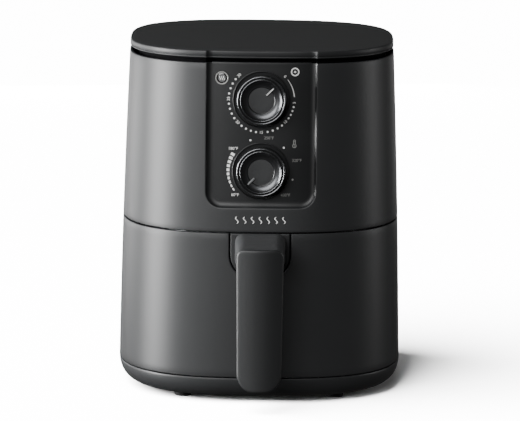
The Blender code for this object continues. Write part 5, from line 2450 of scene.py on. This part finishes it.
    def tray(self) -> None:
        """Build the crisper tray: a dished plate with slots cut by Geometry Nodes."""
        low, high = measured("crisper_tray")
        high.z -= self.tray_room
        half, depth = (high.x - low.x) / 2, (high.y - low.y) / 2
        plan = Plan(self.plan.centre_y, half, depth / half, self.pan_power)
        z0, z1 = low.z, high.z
        profile = [(3.0, z0), (1.4, z0 + 0.3), (0.7, z0 + 1.4), (0.1, z1 - 0.9), (0.0, z1 - 0.4)]
        profile += [(0.3, z1), (0.8, z1), (1.1, z1 - 0.5)]
        profile += [(1.9, z0 + 1.9), (2.6, z0 + 1.3), (3.6, z0 + 1.2)]
        plate = plan.swept("tray", profile, NONSTICK, steps=180)
        outline = rounded_outline(-7.0, -1.9, 7.0, 1.9, [1.85] * 4, steps=4)
        slot = lofted("slot_tool", [[(x, y, z) for x, y in outline] for z in (-4.0, 6.0)])
        spots = []
        for row in range(-6, 7):
            for column in range(-4, 5):
                x = 18.0 * column + (9.0 if row % 2 else 0.0)
                y = 11.5 * row
                if (abs(x) + 8) ** 3 / 72**3 + (abs(y) + 3) ** 3 / 78**3 < 1:
                    spots.append((x, self.plan.centre_y + y, z0 + 0.6, 0.0))
        points = bench("slot_points", points_mesh("slot_points", spots))
        tool = bench("slot_tool", slot)
        mesh = run_tree(plate, perforate(), Points=points, Tool=tool, Material=NONSTICK.material())
        bpy.data.objects.remove(points)
        bpy.data.objects.remove(tool)
        piece("tray", mesh, "tray", ["crisper_tray"])

    def bumpers(self) -> None:
        """Build the tray's four silicone bumpers with rounded edges."""
        for side in ("left", "right", "front", "rear"):
            node = f"tray_bumper_{side}"
            mesh = softened(blocks(side, [measured(node)], 0.9), 0.5, 2)
            piece(f"bumper_{side}", mesh, "tray", [node], BUMPER_SILICONE)


@dataclass
class Rear:
    """The hot air outlet with its slats and stand-offs, and the cord's gland."""

    plan: Plan
    slats: int = 7
    border: float = 4.5
    bow: float = 0.0006

    def build(self) -> None:
        """Build and dress the rear."""
        self.grille()
        self.gland()

    def grille(self) -> None:
        """Build the outlet's frame, its slats by Geometry Nodes, and both stand-offs."""
        low, high = measured("rear_grille")
        half = high.x
        back = self.plan.centre_y + self.plan.depth_at(0, (low.z + high.z) / 2)
        rings = []
        for inset, deep in ((0, -3.2), (0, -0.4), (0.5, 0), (3.6, 0), (4.1, -0.4), (4.1, -3.2)):
            reach, low_z, high_z = half - inset, low.z + inset, high.z - inset
            outline = rounded_outline(-reach, low_z, reach, high_z, [2.5] * 4)
            rings.append([(x, back + deep - self.bow * x * x, z) for x, z in outline])
        steps = 8
        section = ((-1.1, 0.2), (1.1, -1.2), (1.4, -0.9), (1.4, -0.1), (1.1, 0.2), (-1.1, 1.6))
        rows = []
        for i in range(steps + 1):
            x = (half - self.border) * (2 * i / steps - 1)
            rows.append([(x, y - self.bow * x * x, z) for y, z in section])
        start = low.z + self.border
        pitch = (high.z - self.border - start) / self.slats
        spots = [(0, back - 1.6, start + pitch * (i + 0.5), 0.0) for i in range(self.slats)]
        slats = copied(lofted("slat", rows), spots, INNER_PLASTIC, "slats")
        posts = []
        for x in (2.65 - half, half - 2.65):
            posts.append(((x - 1.2, back - 3.0, low.z + 3), (x + 1.2, high.y, high.z - 3)))
        posts = softened(blocks("posts", posts, 0.8), 0.4, 2)
        mesh = joined("outlet", [lofted("grille", rings, capped=False, closed=True), posts, slats])
        piece("outlet", mesh, "casing", ["rear_grille"], INNER_PLASTIC)

    def gland(self) -> None:
        """Build the moulded gland where the mains lead would enter."""
        low, high = measured("cord_gland")
        z = (low.z + high.z) / 2
        profile = [(4.1, 5.0), (7.6, 5.0), (7.6, 1.6), (9.7, 1.6), (10.0, 1.2)]
        profile += [(9.7, 0.4), (9.0, 0.0), (5.2, 0.0), (4.4, 0.3), (4.1, 0.9)]
        origin = Vector((0, high.y, z))
        mesh = turned("gland", origin, Vector((0, -1, 0)), profile, 64, closed=True)
        piece("gland", mesh, "casing", ["cord_gland"], INNER_PLASTIC)


@dataclass
class HeatUnit:
    """The bay, the heater, its guard and the fans, seen when the drawer is out."""

    plan: Plan
    leg_turn: float = math.radians(12)

    def build(self) -> None:
        """Build and dress what an open drawer shows."""
        self.bay()
        self.element()
        self.guard()
        self.fans()

    def bay(self) -> None:
        """Build the bay's smooth liner, its open front and its two runners."""
        low, high = measured("drawer_bay")
        half, depth = (high.x - low.x) / 2, high.y - self.plan.centre_y
        plan = Plan(self.plan.centre_y, half, depth / half, 3.0)
        floor = measured("base_pan")[1].z + 2.0
        profile = [(7.0, floor), (3.0, floor + 0.3), (0.9, floor + 1.4), (0.0, floor + 3.6)]
        profile += [(0.0, high.z), (1.5, high.z), (1.5, floor + 4.2), (2.4, floor + 2.4)]
        profile += [(4.2, floor + 1.6), (7.5, floor + 1.5)]
        mesh = plan.swept("bay", profile, INNER_PLASTIC, steps=200)
        y = self.plan.centre_y
        mouth = blocks("mouth", [((-130, -120, floor + 3.5), (130, y - 50, 150))])
        mesh = combined(mesh, [mouth], "DIFFERENCE")
        top = measured("drawer_pan")[0].z - 0.35
        rails = [((x - 2.5, y - 82, floor + 1.0), (x + 2.5, y + 80, top)) for x in (-50, 50)]
        mesh = joined("bay", [mesh, blocks("rails", rails, 1.0)])
        mesh.shade_smooth()
        mesh.set_sharp_from_angle(angle=SHARP)
        piece("bay", mesh, "casing", ["drawer_bay"], INNER_PLASTIC)

    def element(self) -> None:
        """Build the bent tubular heater along its double turn."""
        low, high = measured("heating_element")
        outer, inner, level = 62.0, 49.0, low.z + 3.25
        bend = 8.0
        runs = []
        for radius in (outer, inner):
            swing = bend / radius
            run = [(radius, self.leg_turn, high.z)]
            for i in range(9):
                turn = math.pi / 2 * i / 8
                angle = self.leg_turn + swing * (1 - math.cos(turn))
                run.append((radius, angle, level + bend * (1 - math.sin(turn))))
            start, end = self.leg_turn + swing, math.radians(345)
            run += [(radius, start + (end - start) * i / 72, level) for i in range(1, 73)]
            runs.append(run)
        middle, half = (outer + inner) / 2, (outer - inner) / 2
        hairpin = []
        for i in range(1, 12):
            turn = math.pi * i / 12
            angle = math.radians(345) + half * math.sin(turn) / middle
            hairpin.append((middle + half * math.cos(turn), angle, level))
        path = runs[0] + hairpin + runs[1][::-1]
        y = self.plan.centre_y
        points = [(r * math.cos(a), y + r * math.sin(a), z) for r, a, z in path]
        mesh = run_tree(
            line_mesh("element", [points]),
            tube_along(),
            Radius=3.25 * MM,
            Sides=20,
            Material=HEATER_SHEATH.material(),
        )
        piece("element", mesh, "casing", ["heating_element"])

    def guard(self) -> None:
        """Build the wire guard under the heater: two rings and four spokes."""
        low, high = measured("element_guard")
        level, y = (low.z + high.z) / 2, self.plan.centre_y
        rings = []
        for radius in (66.0, 36.0):
            turns = [math.tau * i / 96 for i in range(96)]
            rings.append([(radius * math.cos(a), y + radius * math.sin(a), level) for a in turns])
        spokes = []
        for i in range(4):
            way = math.radians(45 + 90 * i)
            across, along = math.cos(way), math.sin(way)
            spokes.append([(r * across, y + r * along, level) for r in (30.0, 75.2)])
        wire = {"Radius": 1.3 * MM, "Sides": 12, "Material": BRIGHT_STEEL.material()}
        meshes = [
            run_tree(line_mesh("rings", rings, loops=True), tube_along(), **wire),
            run_tree(line_mesh("spokes", spokes), tube_along(), **wire),
        ]
        piece("guard", joined("guard", meshes), "casing", ["element_guard"])

    def fans(self) -> None:
        """Build both pressed fans, their curved blades set round by Geometry Nodes."""
        specs = (
            ("convection_fan", 42.0, 187.0, 179.0, 9.0, FAN_ALUMINIUM, "cast_aluminium"),
            ("cooling_fan", 46.0, 204.5, 205.3, 8.2, ALUMINISED, "aluminised_steel"),
        )
        blades = 12
        y = self.plan.centre_y
        for name, radius, disc_z, blade_z, height, finish, slot in specs:
            edge = radius - 0.3
            profile = [(2.85, 0.0), (edge, 0.0), (radius, 0.3), (radius, 0.7), (edge, 1.0)]
            profile.append((2.85, 1.0))
            disc = turned(name, Vector((0, y, disc_z)), Vector((0, 0, 1)), profile, 96, closed=True)
            disc.materials.append(finish.material())
            rows = []
            for i in range(9):
                share = i / 8
                reach = radius * (0.42 + 0.53 * share)
                swing = 0.5 * share * share
                x, across = reach * math.cos(swing), reach * math.sin(swing)
                section = ((-0.5, 0.0), (0.5, 0.0), (0.5, height), (-0.5, height))
                rows.append([(x, across + side, z) for side, z in section])
            spots = [(0, y, blade_z, math.tau * i / blades) for i in range(blades)]
            wheel = copied(lofted("blade", rows), spots, finish, f"{name}_blades")
            mesh = joined(name, [disc, wheel])
            piece(name.replace("_fan", "_impeller"), mesh, "fan_rotor", [name])


def dress_frame() -> None:
    """Give every CAD node that still shows the finish of its own material slot."""
    slots = {row["node"]: row["material_slot"] for row in frame["record"]["subparts"]}
    for name, item in frame["nodes"].items():
        if item.hide_render:
            continue
        material = SLOT_FINISHES[slots[name]].material()
        if not item.material_slots:
            item.data.materials.append(material)
        for place in item.material_slots:
            place.material = material


@dataclass
class Studio:
    """The pale floor, the soft lights and the camera."""

    centre_y: float
    camera_distance: float = 2972.5
    camera_height: float = 615.1
    tilt: float = 0.1615
    lens: float = 262.5
    shift: float = -0.0009
    rise: float = 0.0011
    roll: float = 0.0096

    def build(self) -> None:
        """Set up the floor, the lights, the world and the camera."""
        self.floor()
        self.lights()
        self.camera()

    def floor(self) -> None:
        """Lay a wide pale floor."""
        shape = bmesh.new()
        reach = 20000.0
        corners = [(-reach, -reach, 0), (reach, -reach, 0), (reach, reach, 0), (-reach, reach, 0)]
        shape.faces.new([shape.verts.new(corner) for corner in corners])
        mesh = to_mesh("floor", shape, recalculate=False)
        material = bpy.data.materials.new("painted_studio_floor")
        material.use_nodes = True
        tree = material.node_tree
        tree.nodes.clear()
        shader = add_node(
            tree,
            "ShaderNodeBsdfPrincipled",
            {"Base Color": linear("f2f2f2"), "Roughness": 0.9, "Specular IOR Level": 0.0},
        )
        add_node(tree, "ShaderNodeOutputMaterial", {"Surface": shader.outputs[0]})
        mesh.materials.append(material)
        floor = bench("floor", mesh)
        floor.visible_glossy = False
        floor.visible_diffuse = False
        self.floor_light(floor)

    def floor_light(self, floor: bpy.types.Object) -> None:
        """Light the floor alone to white, from the left, so that the shadow stays soft.

        Args:
            floor: The floor.
        """
        receivers = bpy.data.collections.new("floor_only")
        receivers.objects.link(floor)
        sun = self.sun("floor_light", 66.0, 62.0, (math.radians(16), math.radians(-36), 0))
        sun.light_linking.receiver_collection = receivers

    def sun(self, name: str, energy: float, angle: float, turn: tuple) -> bpy.types.Object:
        """Hang one distant light of a given apparent width in degrees.

        Args:
            name: Name of the light.
            energy: Its strength.
            angle: Angle that the light spans.
            turn: Its rotation.

        Returns:
            The light.
        """
        light = bpy.data.lights.new(name, "SUN")
        light.energy = energy
        light.angle = math.radians(angle)
        item = bpy.data.objects.new(name, light)
        item.rotation_euler = turn
        bpy.context.scene.collection.objects.link(item)
        return item

    def lights(self) -> None:
        """Hang a broad soft light above, tall ones at the left and weak ones elsewhere."""
        world = bpy.data.worlds.new("studio")
        world.use_nodes = True
        tree = world.node_tree
        tree.nodes.clear()
        path = add_node(tree, "ShaderNodeLightPath")
        strength = add_node(
            tree,
            "ShaderNodeMapRange",
            {"Value": path.outputs["Is Camera Ray"], "To Min": 0.06, "To Max": 14.0},
        )
        glow = add_node(tree, "ShaderNodeBackground", {"Strength": strength.outputs[0]})
        glow.inputs["Color"].default_value = (1, 1, 1, 1)
        add_node(tree, "ShaderNodeOutputWorld", {"Surface": glow.outputs[0]})
        bpy.context.scene.world = world
        self.sun("front_high", 2.05, 40.0, (math.radians(58), 0, math.radians(-22)))
        for name, place, size, energy in (
            ("left_tall", (-1500, -250, 240), (700, 900), 86.0),
            ("left_rear", (-1150, 1000, 100), (600, 360), 7.0),
            ("front_left", (-900, -1700, 700), (700, 700), 6.5),
            ("overhead_box", (0, 500, 1400), (700, 500), 1.5),
            ("right_tall", (1500, 250, 300), (300, 800), 4.2),
            ("right_rear", (600, 1700, 60), (700, 360), 0.8),
            ("rear", (-200, 1800, 90), (900, 330), 5.0),
        ):
            self.area(name, Vector(place), size, energy)

    def area(self, name: str, place: Vector, size: Pair, energy: float) -> None:
        """Hang one rectangular light that faces the middle of the casing.

        Args:
            name: Name of the light.
            place: Where it hangs, in millimetres.
            size: Its width and height, in millimetres.
            energy: Its power.
        """
        light = bpy.data.lights.new(name, "AREA")
        light.shape = "RECTANGLE"
        light.size, light.size_y = size[0] * MM, size[1] * MM
        light.energy = energy
        item = bpy.data.objects.new(name, light)
        item.location = place * MM
        aim = Vector((0, self.centre_y, 150)) - place
        item.rotation_euler = aim.to_track_quat("-Z", "Y").to_euler()
        bpy.context.scene.collection.objects.link(item)

    def camera(self) -> None:
        """Stand the camera in front, a little above, looking slightly down."""
        data = bpy.data.cameras.new("camera")
        data.sensor_width = 36.0
        data.lens = self.lens
        data.shift_x = self.shift
        data.shift_y = self.rise
        item = bpy.data.objects.new("camera", data)
        item.location = Vector((0, self.centre_y - self.camera_distance, self.camera_height)) * MM
        rolled = Matrix.Rotation(self.roll, 3, "Z")
        facing = Matrix.Rotation(math.pi / 2 - self.tilt, 3, "X") @ rolled
        item.rotation_euler = facing.to_euler()
        bpy.context.scene.collection.objects.link(item)
        bpy.context.scene.camera = item


def main() -> None:
    """Build the sub-assemblies in order, dress the frame, and set up the studio."""
    logging.basicConfig(level=logging.INFO, format="%(name)s %(message)s")
    plan = casing_plan()
    timer = Dial("timer", pointer_turn=45.0, pointer_from=5.5, pointer_to=13.1)
    temperature = Dial("temperature", 226.0, 6.5, 13.7, 0.85, POINTER_GREY)
    for part in (
        Casing(plan),
        timer,
        temperature,
        ControlPanel(plan, timer, temperature),
        Drawer(plan),
        Rear(plan),
        HeatUnit(plan),
    ):
        part.build()
        LOG.info("built %s", type(part).__name__)
    dress_frame()
    Studio(plan.centre_y).build()


if __name__ == "__main__":
    main()
